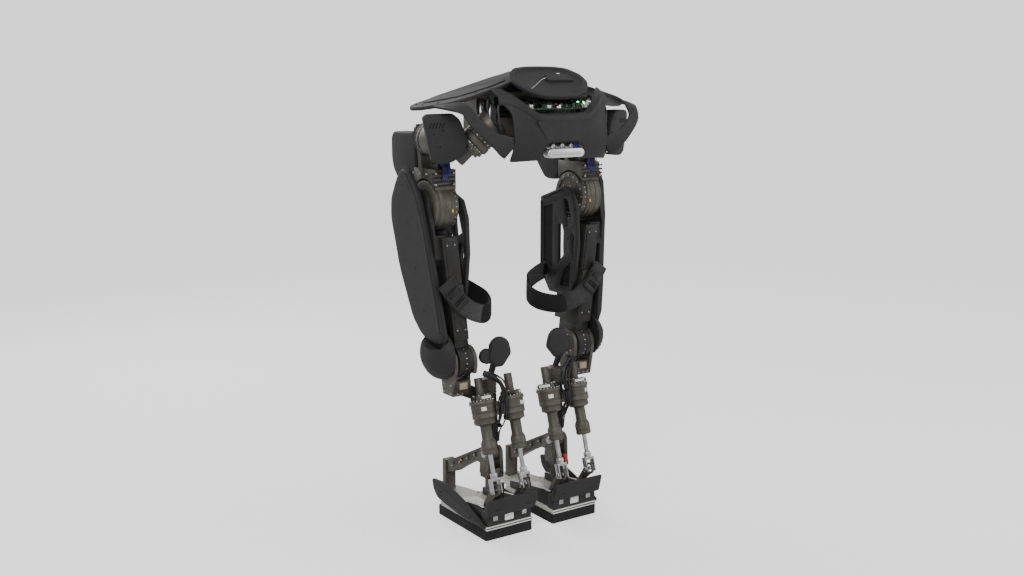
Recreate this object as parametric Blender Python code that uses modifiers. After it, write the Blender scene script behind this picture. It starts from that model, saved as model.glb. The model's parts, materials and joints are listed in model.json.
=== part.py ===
"""Lower body of a wearable humanoid robot: a pelvis pack and two six-axis legs.

Metres, +Z up, +X to the robot's left, and the robot faces -Y. The origin is on the floor, midway
between the soles. The left leg is modelled; the right leg is its mirror image.
"""

import math

import bmesh
import bpy
from mathutils import Matrix, Vector

# Joint axes of the left leg
HIP_YAW_AT = Vector((0.203, 0.084, 1.106))
HIP_YAW_AXIS = Vector((-0.65, 0.28, 0.70)).normalized()
HIP_ROLL_X, HIP_ROLL_Z = 0.260, 1.115
HIP_PITCH_Y, HIP_PITCH_Z = -0.039, 0.935
KNEE_Y, KNEE_Z = 0.010, 0.500
ANKLE_X, ANKLE_Y, ANKLE_Z = 0.115, 0.038, 0.220
ANKLE_ROLL_Z = 0.120

# Motors
YAW_MOTOR_RADIUS, YAW_MOTOR_LENGTH = 0.043, 0.085
ROLL_MOTOR_RADIUS = 0.045
PITCH_MOTOR_RADIUS, PITCH_MOTOR_X = 0.073, (0.211, 0.284)
KNEE_MOTOR_RADIUS, KNEE_MOTOR_X = 0.048, (0.183, 0.230)

# Thigh
THIGH_LEAN, SHELL_X = 0.114, 0.3015

# Ankle actuators: a pivot on the shin, and a pin in a lug of the foot
ACTUATOR_PIVOT = Vector((0, 0.072, 0.360))
ACTUATOR_PIN = Vector((0, 0.137, 0.148))
ACTUATOR_OFFSET = 0.050
DRUM_RADIUS, FLANGE_RADIUS = 0.033, 0.036
COLLAR_RADIUS, BARREL_RADIUS, TAIL_RADIUS = 0.022, 0.016, 0.012
ROD_RADIUS, ROD_BORE = 0.0065, 0.0078
FORK_HALF_GAP, FORK_HALF_WIDTH, FORK_HALF_DEPTH = 0.0115, 0.0155, 0.009
PIN_RADIUS, LUG_HOLE_RADIUS, LUG_RADIUS, LUG_HALF = 0.005, 0.012, 0.017, 0.0035

# Foot
SOLE_X = (0.036, 0.195)
SOLE_HALF_LENGTH, SOLE_HEIGHT = 0.1305, 0.0297
PLATE_Z = (0.030, 0.041)

# Pelvis
FRAME_HALF_WIDTH = 0.160
HATCH_HINGE_Y, HATCH_HINGE_Z = 0.100, 1.312
WING_RIDGE_Z, WING_SLOPE = 1.2986, 0.277
GAP = 0.0003

SHELL = ("shell_plastic", (0.055, 0.056, 0.058), 0.0, 0.62)
ALLOY = ("anodised_alloy", (0.165, 0.150, 0.130), 0.7, 0.45)
STEEL = ("bright_steel", (0.62, 0.62, 0.63), 1.0, 0.28)
DARK_METAL = ("dark_metal", (0.060, 0.058, 0.056), 0.6, 0.5)
RUBBER = ("rubber", (0.018, 0.018, 0.018), 0.0, 0.85)
WEBBING = ("webbing", (0.022, 0.022, 0.025), 0.0, 0.9)
BOARD = ("circuit_board", (0.02, 0.09, 0.04), 0.0, 0.5)
CREAM = ("cream_plate", (0.66, 0.63, 0.56), 0.0, 0.5)
CAMERA_BODY = ("camera_body", (0.70, 0.70, 0.70), 0.6, 0.35)


def clear_scene():
    for obj in list(bpy.data.objects):
        bpy.data.objects.remove(obj, do_unlink=True)


def new_collection(name, hidden=False):
    collection = bpy.data.collections.new(name)
    collection.hide_render = hidden
    bpy.context.scene.collection.children.link(collection)
    return collection


clear_scene()
ROBOT = new_collection("humanoid_robot_kit")
SHAPES = new_collection("working_shapes", hidden=True)


def material(name, colour, metallic, roughness):
    found = bpy.data.materials.get(name)
    if found:
        return found
    made = bpy.data.materials.new(name)
    made.use_nodes = True
    shader = made.node_tree.nodes["Principled BSDF"]
    shader.inputs["Base Color"].default_value = (*colour, 1)
    shader.inputs["Metallic"].default_value = metallic
    shader.inputs["Roughness"].default_value = roughness
    made.diffuse_color = (*colour, 1)
    return made


# ---------------------------------------------------------------- shapes

def evaluated(obj):
    """Replaces an object by a mesh of what its modifiers or its curve make, with its seams welded."""
    bpy.context.view_layer.update()
    graph = bpy.context.evaluated_depsgraph_get()
    mesh = bpy.data.meshes.new_from_object(obj.evaluated_get(graph))
    mesh.transform(obj.matrix_world)
    bm = bmesh.new()
    bm.from_mesh(mesh)
    bmesh.ops.remove_doubles(bm, verts=bm.verts, dist=1e-5)
    bmesh.ops.recalc_face_normals(bm, faces=bm.faces)
    bm.to_mesh(mesh)
    bm.free()
    bpy.data.objects.remove(obj, do_unlink=True)
    return shape_object(mesh)


def shape_object(mesh):
    obj = bpy.data.objects.new("shape", mesh)
    obj.display_type = "WIRE"
    obj.hide_render = True
    SHAPES.objects.link(obj)
    return obj


def from_bmesh(bm):
    mesh = bpy.data.meshes.new("shape")
    bm.to_mesh(mesh)
    bm.free()
    return shape_object(mesh)


def box(low, high):
    low, high = Vector(low), Vector(high)
    bm = bmesh.new()
    size = Matrix.Diagonal((*(high - low), 1))
    bmesh.ops.create_cube(bm, size=1, matrix=Matrix.Translation((low + high) / 2) @ size)
    return from_bmesh(bm)


def along(start, end):
    """A matrix at the middle of start and end whose Z runs from one to the other."""
    way = end - start
    turn = way.to_track_quat("Z", "Y").to_matrix().to_4x4()
    return Matrix.Translation((start + end) / 2) @ turn


def cylinder(start, end, radius, sides=24, end_radius=None):
    start, end = Vector(start), Vector(end)
    bm = bmesh.new()
    bmesh.ops.create_cone(
        bm, cap_ends=True, segments=sides, radius1=radius,
        radius2=radius if end_radius is None else end_radius,
        depth=(end - start).length, matrix=along(start, end),
    )
    return from_bmesh(bm)


def bar(start, end, width, depth):
    """A square-edged bar from start to end: its width lies across, level, and its depth is at right angles."""
    start, end = Vector(start), Vector(end)
    way = (end - start).normalized()
    side = way.cross(Vector((0, 0, 1)))
    side = side.normalized() if side.length > 0.05 else Vector((1, 0, 0))
    turn = Matrix((side, way.cross(side), way)).transposed().to_4x4()
    size = Matrix.Diagonal((width, depth, (end - start).length, 1))
    bm = bmesh.new()
    bmesh.ops.create_cube(bm, size=1, matrix=Matrix.Translation((start + end) / 2) @ turn @ size)
    return from_bmesh(bm)


PLATE_TURNS = {
    "x": Matrix(((0, 0, 1, 0), (1, 0, 0, 0), (0, 1, 0, 0), (0, 0, 0, 1))),
    "y": Matrix(((1, 0, 0, 0), (0, 0, -1, 0), (0, 1, 0, 0), (0, 0, 0, 1))),
    "z": Matrix.Identity(4),
}


def plate(outline, axis, low, high, place=Matrix.Identity(4)):
    """A flat outline with thickness: (y, z) along x, (x, z) along y or (x, y) along z."""
    curve = bpy.data.curves.new("outline", "CURVE")
    curve.dimensions = "2D"
    curve.fill_mode = "BOTH"
    curve.extrude = (high - low) / 2
    spline = curve.splines.new("POLY")
    spline.points.add(len(outline) - 1)
    for point, (u, v) in zip(spline.points, outline):
        point.co = (u, v, 0, 1)
    spline.use_cyclic_u = True
    obj = bpy.data.objects.new("outline", curve)
    SHAPES.objects.link(obj)
    middle = Vector([(low + high) / 2 if a == axis else 0 for a in "xyz"])
    obj.matrix_world = Matrix.Translation(middle) @ PLATE_TURNS[axis]
    flat = evaluated(obj)
    flat.data.transform(place)
    return flat


def turned(profile, start, way, sides=24):
    """A solid of revolution: (radius, distance) pairs, from the axis out and back, turned about way."""
    mesh = bpy.data.meshes.new("profile")
    mesh.from_pydata([(r, 0, s) for r, s in profile], [(i, i + 1) for i in range(len(profile) - 1)], [])
    obj = shape_object(mesh)
    screw = obj.modifiers.new("Turn", "SCREW")
    screw.axis = "Z"
    screw.steps = screw.render_steps = sides
    screw.use_merge_vertices = True
    screw.merge_threshold = 0.00005
    turn = Vector(way).to_track_quat("Z", "Y").to_matrix().to_4x4()
    obj.matrix_world = Matrix.Translation(start) @ turn
    return evaluated(obj)


def ribbon(path, across, width, thickness):
    """A strip along a path: its width runs along across (one vector, or one for each point)."""
    points = [Vector(p) for p in path]
    sides = [Vector(a) for a in across] if isinstance(across[0], (tuple, Vector)) else [Vector(across)] * len(points)
    bm = bmesh.new()
    rings = []
    for i, point in enumerate(points):
        way = points[min(i + 1, len(points) - 1)] - points[max(i - 1, 0)]
        side = sides[i].normalized()
        out = way.cross(side).normalized()
        corners = [(-1, -1), (1, -1), (1, 1), (-1, 1)]
        rings.append([
            bm.verts.new(point + side * u * width / 2 + out * v * thickness / 2) for u, v in corners
        ])
    for one, two in zip(rings, rings[1:]):
        for k in range(4):
            bm.faces.new((one[k], one[(k + 1) % 4], two[(k + 1) % 4], two[k]))
    bm.faces.new(rings[0])
    bm.faces.new(rings[-1])
    bmesh.ops.recalc_face_normals(bm, faces=bm.faces)
    return from_bmesh(bm)


def ellipsoid(centre, half, segments=24, rings=12):
    bm = bmesh.new()
    place = Matrix.Translation(centre) @ Matrix.Diagonal((*half, 1))
    bmesh.ops.create_uvsphere(bm, u_segments=segments, v_segments=rings, radius=1, matrix=place)
    return from_bmesh(bm)


def tube(points, radius):
    """A cable: a round curve with filled caps through the points."""
    curve = bpy.data.curves.new("cable", "CURVE")
    curve.dimensions = "3D"
    curve.bevel_depth = radius
    curve.bevel_resolution = 2
    curve.use_fill_caps = True
    spline = curve.splines.new("POLY")
    spline.points.add(len(points) - 1)
    for point, place in zip(spline.points, points):
        point.co = (*place, 1)
    obj = bpy.data.objects.new("cable", curve)
    SHAPES.objects.link(obj)
    return evaluated(obj)


def smooth_route(points, steps=4):
    """Points along a smooth curve through the given ones."""
    points = [Vector(p) for p in points]
    ends = [2 * points[0] - points[1], *points, 2 * points[-1] - points[-2]]
    route = []
    for a, b, c, d in zip(ends, ends[1:], ends[2:], ends[3:]):
        for k in range(steps):
            t = k / steps
            route.append(0.5 * (2 * b + (c - a) * t + (2 * a - 5 * b + 4 * c - d) * t * t
                                + (3 * b - a - 3 * c + d) * t ** 3))
    return [*route, points[-1]]


def circle(u, v, radius, sides=24, start=0.0, sweep=2 * math.pi):
    count = sides if sweep >= 2 * math.pi else sides + 1
    return [
        (u + radius * math.cos(start + sweep * k / sides), v + radius * math.sin(start + sweep * k / sides))
        for k in range(count)
    ]


def part(name, look, base, joined=(), cuts=(), bevel=0.0):
    """Joins shapes to a base, cuts others out of it, and files the result as one named sub-part."""
    if bevel:
        edge = base.modifiers.new("Edges", "BEVEL")
        edge.width = bevel
        edge.segments = 1
        edge.limit_method = "ANGLE"
        edge.angle_limit = math.radians(40)
    for operation, shapes in (("UNION", joined), ("DIFFERENCE", cuts)):
        for shape in shapes:
            step = base.modifiers.new(operation.title(), "BOOLEAN")
            step.operation = operation
            step.object = shape
            step.solver = "EXACT"
    made = evaluated(base)
    for shape in (*joined, *cuts):
        bpy.data.objects.remove(shape, do_unlink=True)
    return file_part(name, look, made)


def file_part(name, look, obj):
    obj.name = name
    obj.data.name = name
    obj.display_type = "TEXTURED"
    obj.hide_render = False
    obj.data.materials.clear()
    obj.data.materials.append(material(*look))
    obj.data.shade_smooth()
    obj.data.set_sharp_from_angle(angle=math.radians(35))
    SHAPES.objects.unlink(obj)
    ROBOT.objects.link(obj)
    return obj


# ---------------------------------------------------------------- pelvis

def shell_grid():
    """The rear shell's half, as columns of (y, z) points from the bottom edge up to the inner lip."""
    return [
        (0.000, [(0.206, 1.064), (0.2275, 1.115), (0.224, 1.183), (0.206, 1.187)]),
        (0.078, [(0.204, 1.064), (0.226, 1.115), (0.222, 1.185), (0.204, 1.189)]),
        (0.120, [(0.199, 1.063), (0.222, 1.116), (0.206, 1.212), (0.186, 1.222)]),
        (0.150, [(0.191, 1.062), (0.214, 1.120), (0.184, 1.228), (0.156, 1.246)]),
        (0.178, [(0.179, 1.066), (0.199, 1.124), (0.168, 1.232), (0.1295, 1.253)]),
    ]


def rear_shell():
    mesh = bpy.data.meshes.new("rear_shell")
    columns = shell_grid()
    rows = len(columns[0][1])
    verts = [(x, y, z) for x, column in columns for y, z in column]
    faces = [
        (i * rows + j, (i + 1) * rows + j, (i + 1) * rows + j + 1, i * rows + j + 1)
        for i in range(len(columns) - 1) for j in range(rows - 1)
    ]
    mesh.from_pydata(verts, [], faces)
    skin = shape_object(mesh)
    mirror = skin.modifiers.new("Halves", "MIRROR")
    mirror.merge_threshold = 0.0001
    shell = skin.modifiers.new("Wall", "SOLIDIFY")
    shell.thickness = 0.005
    shell.offset = 0
    camera_gap = box((-0.068, 0.15, 1.04), (0.068, 0.26, 1.106))
    side = [(0.153, 1.03), (0.153, 1.190), (0.170, 1.214), (0.26, 1.214), (0.26, 1.03)]
    side_gaps = [plate([(s * x, z) for x, z in side], "y", 0.10, 0.26) for s in (-1, 1)]
    return part("rear_shell", SHELL, skin, cuts=[camera_gap, *side_gaps])


def wing_top(x):
    return WING_RIDGE_Z - WING_SLOPE * x


def wing():
    """The side panel: a sloping top plate out to its tip, and a band that sweeps down and back."""
    outline = [(0.0006, -0.036), (0.300, -0.036), (0.330, -0.028), (0.343, 0.0), (0.335, 0.045), (0.292, 0.110),
               (0.250, 0.128), (0.135, 0.128), (0.100, 0.118), (0.048, 0.090), (0.044, 0.074), (0.0006, 0.074)]
    slope = Matrix.Identity(4)
    slope[2][0] = -WING_SLOPE
    slope[2][3] = WING_RIDGE_Z
    top = plate(outline, "z", -0.011, 0.0, slope)
    band_path = [(0.268, 0.060, 1.2245), (0.270, 0.110, 1.223), (0.273, 0.160, 1.204), (0.262, 0.203, 1.166),
                 (0.232, 0.222, 1.130), (0.206, 0.221, 1.106), (0.192, 0.214, 1.066)]
    across = [(1, 0, -0.3), (1, 0, -0.3), (0.9, -0.3, 0.1), (0.6, 0.1, 0.7), (0.55, 0.1, 0.8), (0.7, -0.1, 0.6),
              (1, -0.2, 0.1)]
    band = ribbon(band_path, across, 0.050, 0.007)
    return part("wing_left", SHELL, top, joined=[band])


def yaw_axis_point(distance):
    return HIP_YAW_AT + HIP_YAW_AXIS * distance


def mirror_x(point):
    return Vector((-point[0], point[1], point[2]))


def pelvis_frame():
    frame = box((-FRAME_HALF_WIDTH, -0.03, 1.100), (FRAME_HALF_WIDTH, 0.140, 1.175))
    ridge, edge = wing_top(0) - 0.0115, wing_top(0.150) - 0.0115
    gable = [(-0.150, 1.102), (0.150, 1.102), (0.150, edge), (0, ridge), (-0.150, edge)]
    bulkhead = plate(gable, "y", -0.036, -0.024)
    hinge_beam = box((-0.156, 0.078, 1.222), (0.156, 0.0915, 1.242))
    hinge_post = box((-0.040, 0.079, 1.235), (0.040, 0.0910, 1.3045))
    tray = box((-0.116, -0.018, 1.108), (0.116, 0.128, 1.20))
    joined = [bulkhead, hinge_beam, hinge_post]
    joined += [box((s * 0.118 - 0.010, 0.138, 1.104), (s * 0.118 + 0.010, 0.2095, 1.126)) for s in (-1, 1)]
    joined += [box((s * 0.152 - 0.008, -0.030, 1.17), (s * 0.152 + 0.008, 0.100, 1.2405)) for s in (-1, 1)]
    low, high = yaw_axis_point(-0.01), yaw_axis_point(YAW_MOTOR_LENGTH + GAP)
    radius = YAW_MOTOR_RADIUS + GAP
    cuts = [tray, cylinder(low, high, radius), cylinder(mirror_x(low), mirror_x(high), radius)]
    return part("pelvis_frame", ALLOY, frame, joined=joined, cuts=cuts)


def battery_pack():
    return part("battery_pack", DARK_METAL, box((-0.112, -0.016, 1.1085), (0.112, 0.070, 1.186)), bevel=0.004)


def electronics_tray():
    board = box((-0.112, 0.074, 1.118), (0.112, 0.124, 1.124))
    upright = box((-0.112, 0.118, 1.120), (0.112, 0.124, 1.200))
    shelf = box((-0.128, 0.118, 1.196), (0.128, 0.192, 1.200))
    blocks = [
        box((x - w, y - 0.010, 1.199), (x + w, y + 0.010, 1.199 + h))
        for x, y, w, h in ((-0.095, 0.165, 0.016, 0.014), (-0.040, 0.172, 0.020, 0.010),
                           (0.020, 0.168, 0.014, 0.016), (0.080, 0.165, 0.022, 0.012))
    ]
    return part("electronics_tray", BOARD, board, joined=[upright, shelf, *blocks])


def hatch_place():
    """The hatch's plane: its local x is across, its local y runs up the slope to the hinge."""
    up = Vector((0, HATCH_HINGE_Y - 0.216, HATCH_HINGE_Z - 1.231)).normalized()
    across = Vector((1, 0, 0))
    normal = across.cross(up)
    if normal.z < 0:
        across, normal = -across, -normal
    turn = Matrix((across, up, normal)).transposed().to_4x4()
    return Matrix.Translation((0, 0.158, 1.271)) @ turn


def hatch_outline(scale=1.0):
    half = [(0.000, -0.070), (0.055, -0.068), (0.098, -0.044), (0.124, -0.004), (0.120, 0.032),
            (0.088, 0.062), (0.045, 0.069), (0.000, 0.070)]
    right = [(x * scale, y * scale) for x, y in half]
    return right + [(-x, y) for x, y in right[-2:0:-1]]


def top_hatch():
    place = hatch_place()
    lid = plate(hatch_outline(), "z", -0.014, 0.0, place)
    recess = plate(hatch_outline(0.84), "z", -0.004, 0.01, place)
    return part("top_hatch", SHELL, lid, cuts=[recess])


def depth_camera():
    outline = circle(0.049, 1.083, 0.012, 12, -math.pi / 2, math.pi)
    outline += circle(-0.049, 1.083, 0.012, 12, math.pi / 2, math.pi)
    bar_body = plate(outline, "y", 0.207, 0.2325)
    bracket = box((-0.028, 0.1405, 1.086), (0.028, 0.209, 1.0945))
    foot = box((-0.028, 0.1405, 1.086), (0.028, 0.1465, 1.150))
    return part("depth_camera", CAMERA_BODY, bar_body, joined=[bracket, foot])


# ---------------------------------------------------------------- hip, left

def hip_yaw_motor():
    r, l = YAW_MOTOR_RADIUS, YAW_MOTOR_LENGTH
    profile = [(0, l), (r - 0.004, l), (r, l - 0.004), (r, 0.030), (r - 0.002, 0.028), (r - 0.002, 0.020),
               (r, 0.018), (r, 0.003), (r - 0.003, 0.0), (0, 0.0)]
    return part("left_hip_yaw_motor", ALLOY, turned(profile, HIP_YAW_AT, HIP_YAW_AXIS))


def hip_roll_motor():
    """The roll motor's housing, the arm that carries it and the flange on the yaw motor's output."""
    housing = cylinder((HIP_ROLL_X, -0.050, HIP_ROLL_Z), (HIP_ROLL_X, 0.056, HIP_ROLL_Z), ROLL_MOTOR_RADIUS)
    flange = cylinder(yaw_axis_point(-0.012), yaw_axis_point(-GAP * 2), 0.038)
    step = cylinder(yaw_axis_point(-0.020), yaw_axis_point(-0.011), 0.032)
    arm = bar(yaw_axis_point(-0.015), yaw_axis_point(-0.060), 0.040, 0.036)
    return part("left_hip_roll_motor", ALLOY, housing, joined=[flange, step, arm])


def hip_cover():
    """The cover's outline lies in a plane turned to face back and outwards; its back is hollow."""
    facing = Vector((0.42, 0.906, 0)).normalized()
    across = Vector((facing.y, -facing.x, 0))
    turn = Matrix((-across, Vector((0, 0, 1)), facing)).transposed().to_4x4()
    place = Matrix.Translation((0.2835, 0.090, 1.120)) @ turn
    outline = [(-0.066, 0.058), (-0.056, 0.067), (0.014, 0.069), (0.034, 0.052), (0.058, -0.012),
               (0.052, -0.036), (0.006, -0.062), (-0.026, -0.064), (-0.044, -0.054)]
    inner = [(u * 0.93, v * 0.92) for u, v in outline]
    cover = plate(outline, "z", -0.030, 0.006, place)
    hollow = plate(inner, "z", -0.040, 0.0015, place)
    motor_room = cylinder(yaw_axis_point(-0.021), yaw_axis_point(0.10), YAW_MOTOR_RADIUS + 0.004)
    arm_room = bar(yaw_axis_point(0.0), yaw_axis_point(-0.070), 0.044, 0.040)
    return part("left_hip_cover", SHELL, cover, cuts=[hollow, motor_room, arm_room], bevel=0.004)


def hip_yoke():
    """A hub on the roll motor's output, a plate down in front of it and a saddle over the pitch motor."""
    x0, x1 = 0.2145, 0.2805
    front = [(x1 - 0.001, 1.000), (x1 + 0.006, 1.080), *circle(HIP_ROLL_X, HIP_ROLL_Z, 0.034, 14, 0, math.pi),
             (x0 + 0.006, 1.080), (x0 + 0.001, 1.000)]
    hub_plate = plate(front, "y", -0.0655, -0.0505)
    saddle = box((x0, -0.0955, 0.972), (x1, 0.018, 1.036))
    pod_arm = box((0.230, -0.0922, 1.010), (0.268, -0.060, 1.060))
    seat = cylinder((0.19, HIP_PITCH_Y, HIP_PITCH_Z), (0.34, HIP_PITCH_Y, HIP_PITCH_Z), PITCH_MOTOR_RADIUS + GAP, 32)
    return part("left_hip_yoke", ALLOY, saddle, joined=[hub_plate, pod_arm], cuts=[seat])


def hip_pitch_motor():
    r, (x0, x1) = PITCH_MOTOR_RADIUS, PITCH_MOTOR_X
    l = x1 - x0
    profile = [(0, l), (r - 0.008, l), (r - 0.003, l - 0.003), (r - 0.003, l - 0.012), (r, l - 0.014),
               (r, 0.016), (r - 0.003, 0.014), (r - 0.003, 0.004), (r - 0.006, 0), (0, 0)]
    return part("left_hip_pitch_motor", ALLOY, turned(profile, (x0, HIP_PITCH_Y, HIP_PITCH_Z), (1, 0, 0), 32))


def hip_pod():
    outline = [(-0.2325, 1.115), (-0.222, 1.130), (-0.112, 1.132), (-0.0960, 1.112), (-0.0960, 1.006),
               (-0.128, 0.974), (-0.176, 0.974), (-0.222, 1.024), (-0.2325, 1.056)]
    return part("left_hip_pod", SHELL, plate(outline, "x", 0.222, 0.277), bevel=0.005)


# ---------------------------------------------------------------- thigh, left

def lean():
    """The thigh leans in towards the knee: a shear that keeps the height of the hip's pitch axis."""
    shear = Matrix.Identity(4)
    shear[0][2] = THIGH_LEAN
    shear[0][3] = -THIGH_LEAN * HIP_PITCH_Z
    return shear


def thigh_frame():
    """A leaning box between hip and knee, with a side arm up to the pitch motor's output."""
    column = plate([(0.222, 0.853), (0.269, 0.853), (0.2285, 0.515), (0.1845, 0.515)], "y", -0.050, 0.034)
    lower = plate([(0.2075, 0.720), (0.2540, 0.720), (0.2365, 0.565), (0.1900, 0.565)], "y", -0.076, 0.040)
    y, z = HIP_PITCH_Y, HIP_PITCH_Z
    arm = [*circle(y, z, 0.048, 12, 0, math.pi), (y - 0.048, 0.860), (y - 0.030, 0.792), (y + 0.062, 0.792),
           (y + 0.066, 0.860)]
    side_arm = plate(arm, "x", 0.2862, 0.2960)
    link = box((0.245, -0.068, 0.793), (0.2930, 0.022, 0.8575))
    outside = plate([(-0.30, 0.50), (0.30, 0.50), (0.30, 1.20), (-0.30, 1.20)], "x", SHELL_X - 0.0006, 0.36,
                    lean())
    seat = cylinder((0.15, KNEE_Y, KNEE_Z), (0.30, KNEE_Y, KNEE_Z), KNEE_MOTOR_RADIUS + GAP, 32)
    return part("left_thigh_frame", DARK_METAL, column, joined=[lower, side_arm, link], cuts=[seat, outside])


def shell_outline():
    return [(-0.085, 1.044), (-0.120, 1.013), (-0.163, 0.956), (-0.177, 0.899), (-0.160, 0.748),
               (-0.114, 0.603), (-0.072, 0.556), (-0.004, 0.542), (0.035, 0.548), (0.046, 0.577),
               (0.037, 0.670), (0.022, 0.785), (0.012, 0.878), (-0.012, 0.977), (-0.052, 1.036)]


def thigh_shell():
    shell = plate(shell_outline(), "x", SHELL_X, SHELL_X + 0.019, lean())
    return part("left_thigh_shell", SHELL, shell, bevel=0.006)


def thigh_truss():
    """The inner side plate, with a triangulated web and two standoffs to the frame."""
    outline = [(-0.144, 0.925), (-0.026, 0.965), (0.014, 0.950), (0.036, 0.905), (0.042, 0.800), (0.028, 0.690),
               (0.002, 0.640), (-0.098, 0.640), (-0.144, 0.700)]
    side = plate(outline, "x", 0.184, 0.196)
    windows = [
        [(-0.128, 0.895), (-0.083, 0.908), (-0.083, 0.715), (-0.128, 0.730)],
        [(-0.028, 0.930), (-0.008, 0.925), (0.014, 0.860), (-0.018, 0.845)],
        [(-0.052, 0.850), (-0.036, 0.850), (-0.008, 0.780), (-0.052, 0.735)],
        [(0.012, 0.830), (0.024, 0.820), (0.020, 0.750), (0.006, 0.790)],
        [(-0.028, 0.715), (0.006, 0.740), (0.002, 0.665), (-0.048, 0.665)],
    ]
    cuts = [plate(window, "x", 0.17, 0.21) for window in windows]
    standoff = box((0.1945, -0.012, 0.800), (0.2155, 0.001, 0.826))
    return part("left_thigh_truss", SHELL, side, joined=[standoff], cuts=cuts)


def strap_route():
    """From the rear of the thigh frame, round the wearer's thigh, to the front edge of the truss."""
    return smooth_route([
        (0.268, 0.0480, 0.733), (0.250, 0.0490, 0.706), (0.222, 0.0500, 0.672), (0.178, 0.046, 0.642),
        (0.130, 0.030, 0.628), (0.088, -0.008, 0.634), (0.078, -0.052, 0.650), (0.102, -0.092, 0.672),
        (0.138, -0.106, 0.692), (0.174, -0.110, 0.704),
    ], 3)


def thigh_strap():
    route = strap_route()
    across = []
    for i, point in enumerate(route):
        way = route[min(i + 1, len(route) - 1)] - route[max(i - 1, 0)]
        level = Vector((way.x, way.y, 0)).normalized()
        out = level.cross(Vector((0, 0, 1)))
        across.append(out.cross(way).normalized())
    band = ribbon(route, across, 0.056, 0.006)
    tab = box((0.168, -0.114, 0.690), (0.1837, -0.106, 0.724))
    middle = (Vector(route[2]) + Vector(route[4])) / 2
    way = (route[4] - route[2]).normalized()
    buckle = bar(middle - way * 0.034, middle + way * 0.034, 0.014, 0.046)
    return part("left_thigh_strap", WEBBING, band, joined=[tab, buckle])


# ---------------------------------------------------------------- knee and shin, left

def knee_motor():
    r, (x0, x1) = KNEE_MOTOR_RADIUS, KNEE_MOTOR_X
    profile = [(0, x1 - x0), (r - 0.003, x1 - x0), (r, x1 - x0 - 0.003), (r, 0.003), (r - 0.003, 0), (0, 0)]
    return part("left_knee_motor", ALLOY, turned(profile, (x0, KNEE_Y, KNEE_Z), (1, 0, 0), 32))


def knee_cover():
    """A rounded cap over the front and the outer side of the knee, hollow where the joint turns."""
    cap = ellipsoid((0.246, -0.014, 0.520), (0.054, 0.084, 0.074))
    joint = cylinder((0.10, KNEE_Y, KNEE_Z), (0.2500, KNEE_Y, KNEE_Z), 0.056, 32)
    thigh = box((0.10, -0.0775, 0.500), (0.2500, 0.10, 0.640))
    below = box((0.10, -0.046, 0.40), (0.2500, 0.10, 0.501))
    inner = box((0.10, -0.20, 0.40), (0.205, 0.10, 0.64))
    around = [(-0.03 + (y + 0.03) * 1.05, 0.60 + (z - 0.60) * 1.05) for y, z in shell_outline()]
    shell_room = plate(around, "x", SHELL_X - 0.0006, 0.34, lean())
    return part("left_knee_cover", SHELL, cap, cuts=[joint, thigh, below, inner, shell_room])


def shin_frame():
    """The knee fork, a slanting bar in to the ankle's line, a ribbed drive can, and the column down."""
    def cheek(low, high):
        outline = [(KNEE_Y + 0.042, KNEE_Z - 0.010), *circle(KNEE_Y, KNEE_Z, 0.042, 16, 0, math.pi),
                   (KNEE_Y - 0.038, KNEE_Z - 0.030), (-0.016, 0.410), (0.036, 0.410)]
        return plate(outline, "x", low, high)

    block = box((0.1825, -0.017, 0.4045), (0.2425, 0.037, 0.4455))
    slant = bar((0.215, 0.000, 0.424), (0.108, 0.008, 0.375), 0.026, 0.036)
    can = turned([(0, 0.074), (0.017, 0.074), (0.0205, 0.070), (0.0205, 0), (0, 0)], (ANKLE_X, 0.026, 0.366),
                 (0, 0, 1), 16)
    column = plate([(0.010, 0.405), (0.044, 0.405), (0.053, 0.340), (0.053, 0.235), (0.047, 0.222),
                    (0.029, 0.222), (0.023, 0.235), (0.023, 0.330)], "x", 0.1035, 0.1265)
    boss = cylinder((0.1030, ANKLE_Y, ANKLE_Z), (0.1270, ANKLE_Y, ANKLE_Z), 0.020)
    trunnion = box((0.0995, 0.045, 0.346), (0.1305, 0.086, 0.374))
    pins = [
        cylinder((ANKLE_X, ACTUATOR_PIVOT.y, ACTUATOR_PIVOT.z),
                 (ANKLE_X + s * 0.0170, ACTUATOR_PIVOT.y, ACTUATOR_PIVOT.z), 0.007, 12)
        for s in (-1, 1)
    ]
    cheeks = [cheek(0.2325, 0.2435), cheek(0.1695, 0.1805)]
    tail_room = box((0.150, 0.014, 0.385), (0.1820, 0.10, 0.466))
    return part("left_shin_frame", ALLOY, block, joined=[*cheeks, slant, can, column, boss, trunnion, *pins],
                cuts=[tail_room])


def calf_cuff():
    """Two padded lobes behind the knee's inner side, on a stem from the drive can."""
    large = [*circle(0.104, 0.530, 0.033, 16, 0, math.pi), (0.071, 0.505), (0.098, 0.480), (0.118, 0.480), (0.137, 0.515)]
    lobe = plate(large, "y", 0.050, 0.068)
    small = plate(circle(0.143, 0.512, 0.022, 12), "y", 0.046, 0.062)
    stem = bar((0.116, 0.057, 0.500), (ANKLE_X, 0.032, 0.4445), 0.016, 0.010)
    return part("left_calf_cuff", SHELL, lobe, joined=[small, stem])


def shin_harness():
    route = smooth_route([
        (0.158, 0.062, 0.468), (0.137, 0.073, 0.458), (0.112, 0.086, 0.434),
        (0.106, 0.094, 0.404), (0.112, 0.097, 0.375), (0.115, 0.097, 0.350), (0.115, 0.082, 0.322),
        (0.115, 0.064, 0.295), (0.115, 0.062, 0.262),
    ], 3)
    return file_part("left_shin_harness", RUBBER, tube(route, 0.0065))


# ---------------------------------------------------------------- ankle, left

def actuator_line(side):
    """The pivot of one actuator and the direction from it to its pin: side is 1 outside, -1 inside."""
    offset = Vector((ANKLE_X + side * ACTUATOR_OFFSET, 0, 0))
    return ACTUATOR_PIVOT + offset, (ACTUATOR_PIN - ACTUATOR_PIVOT).normalized()


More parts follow.
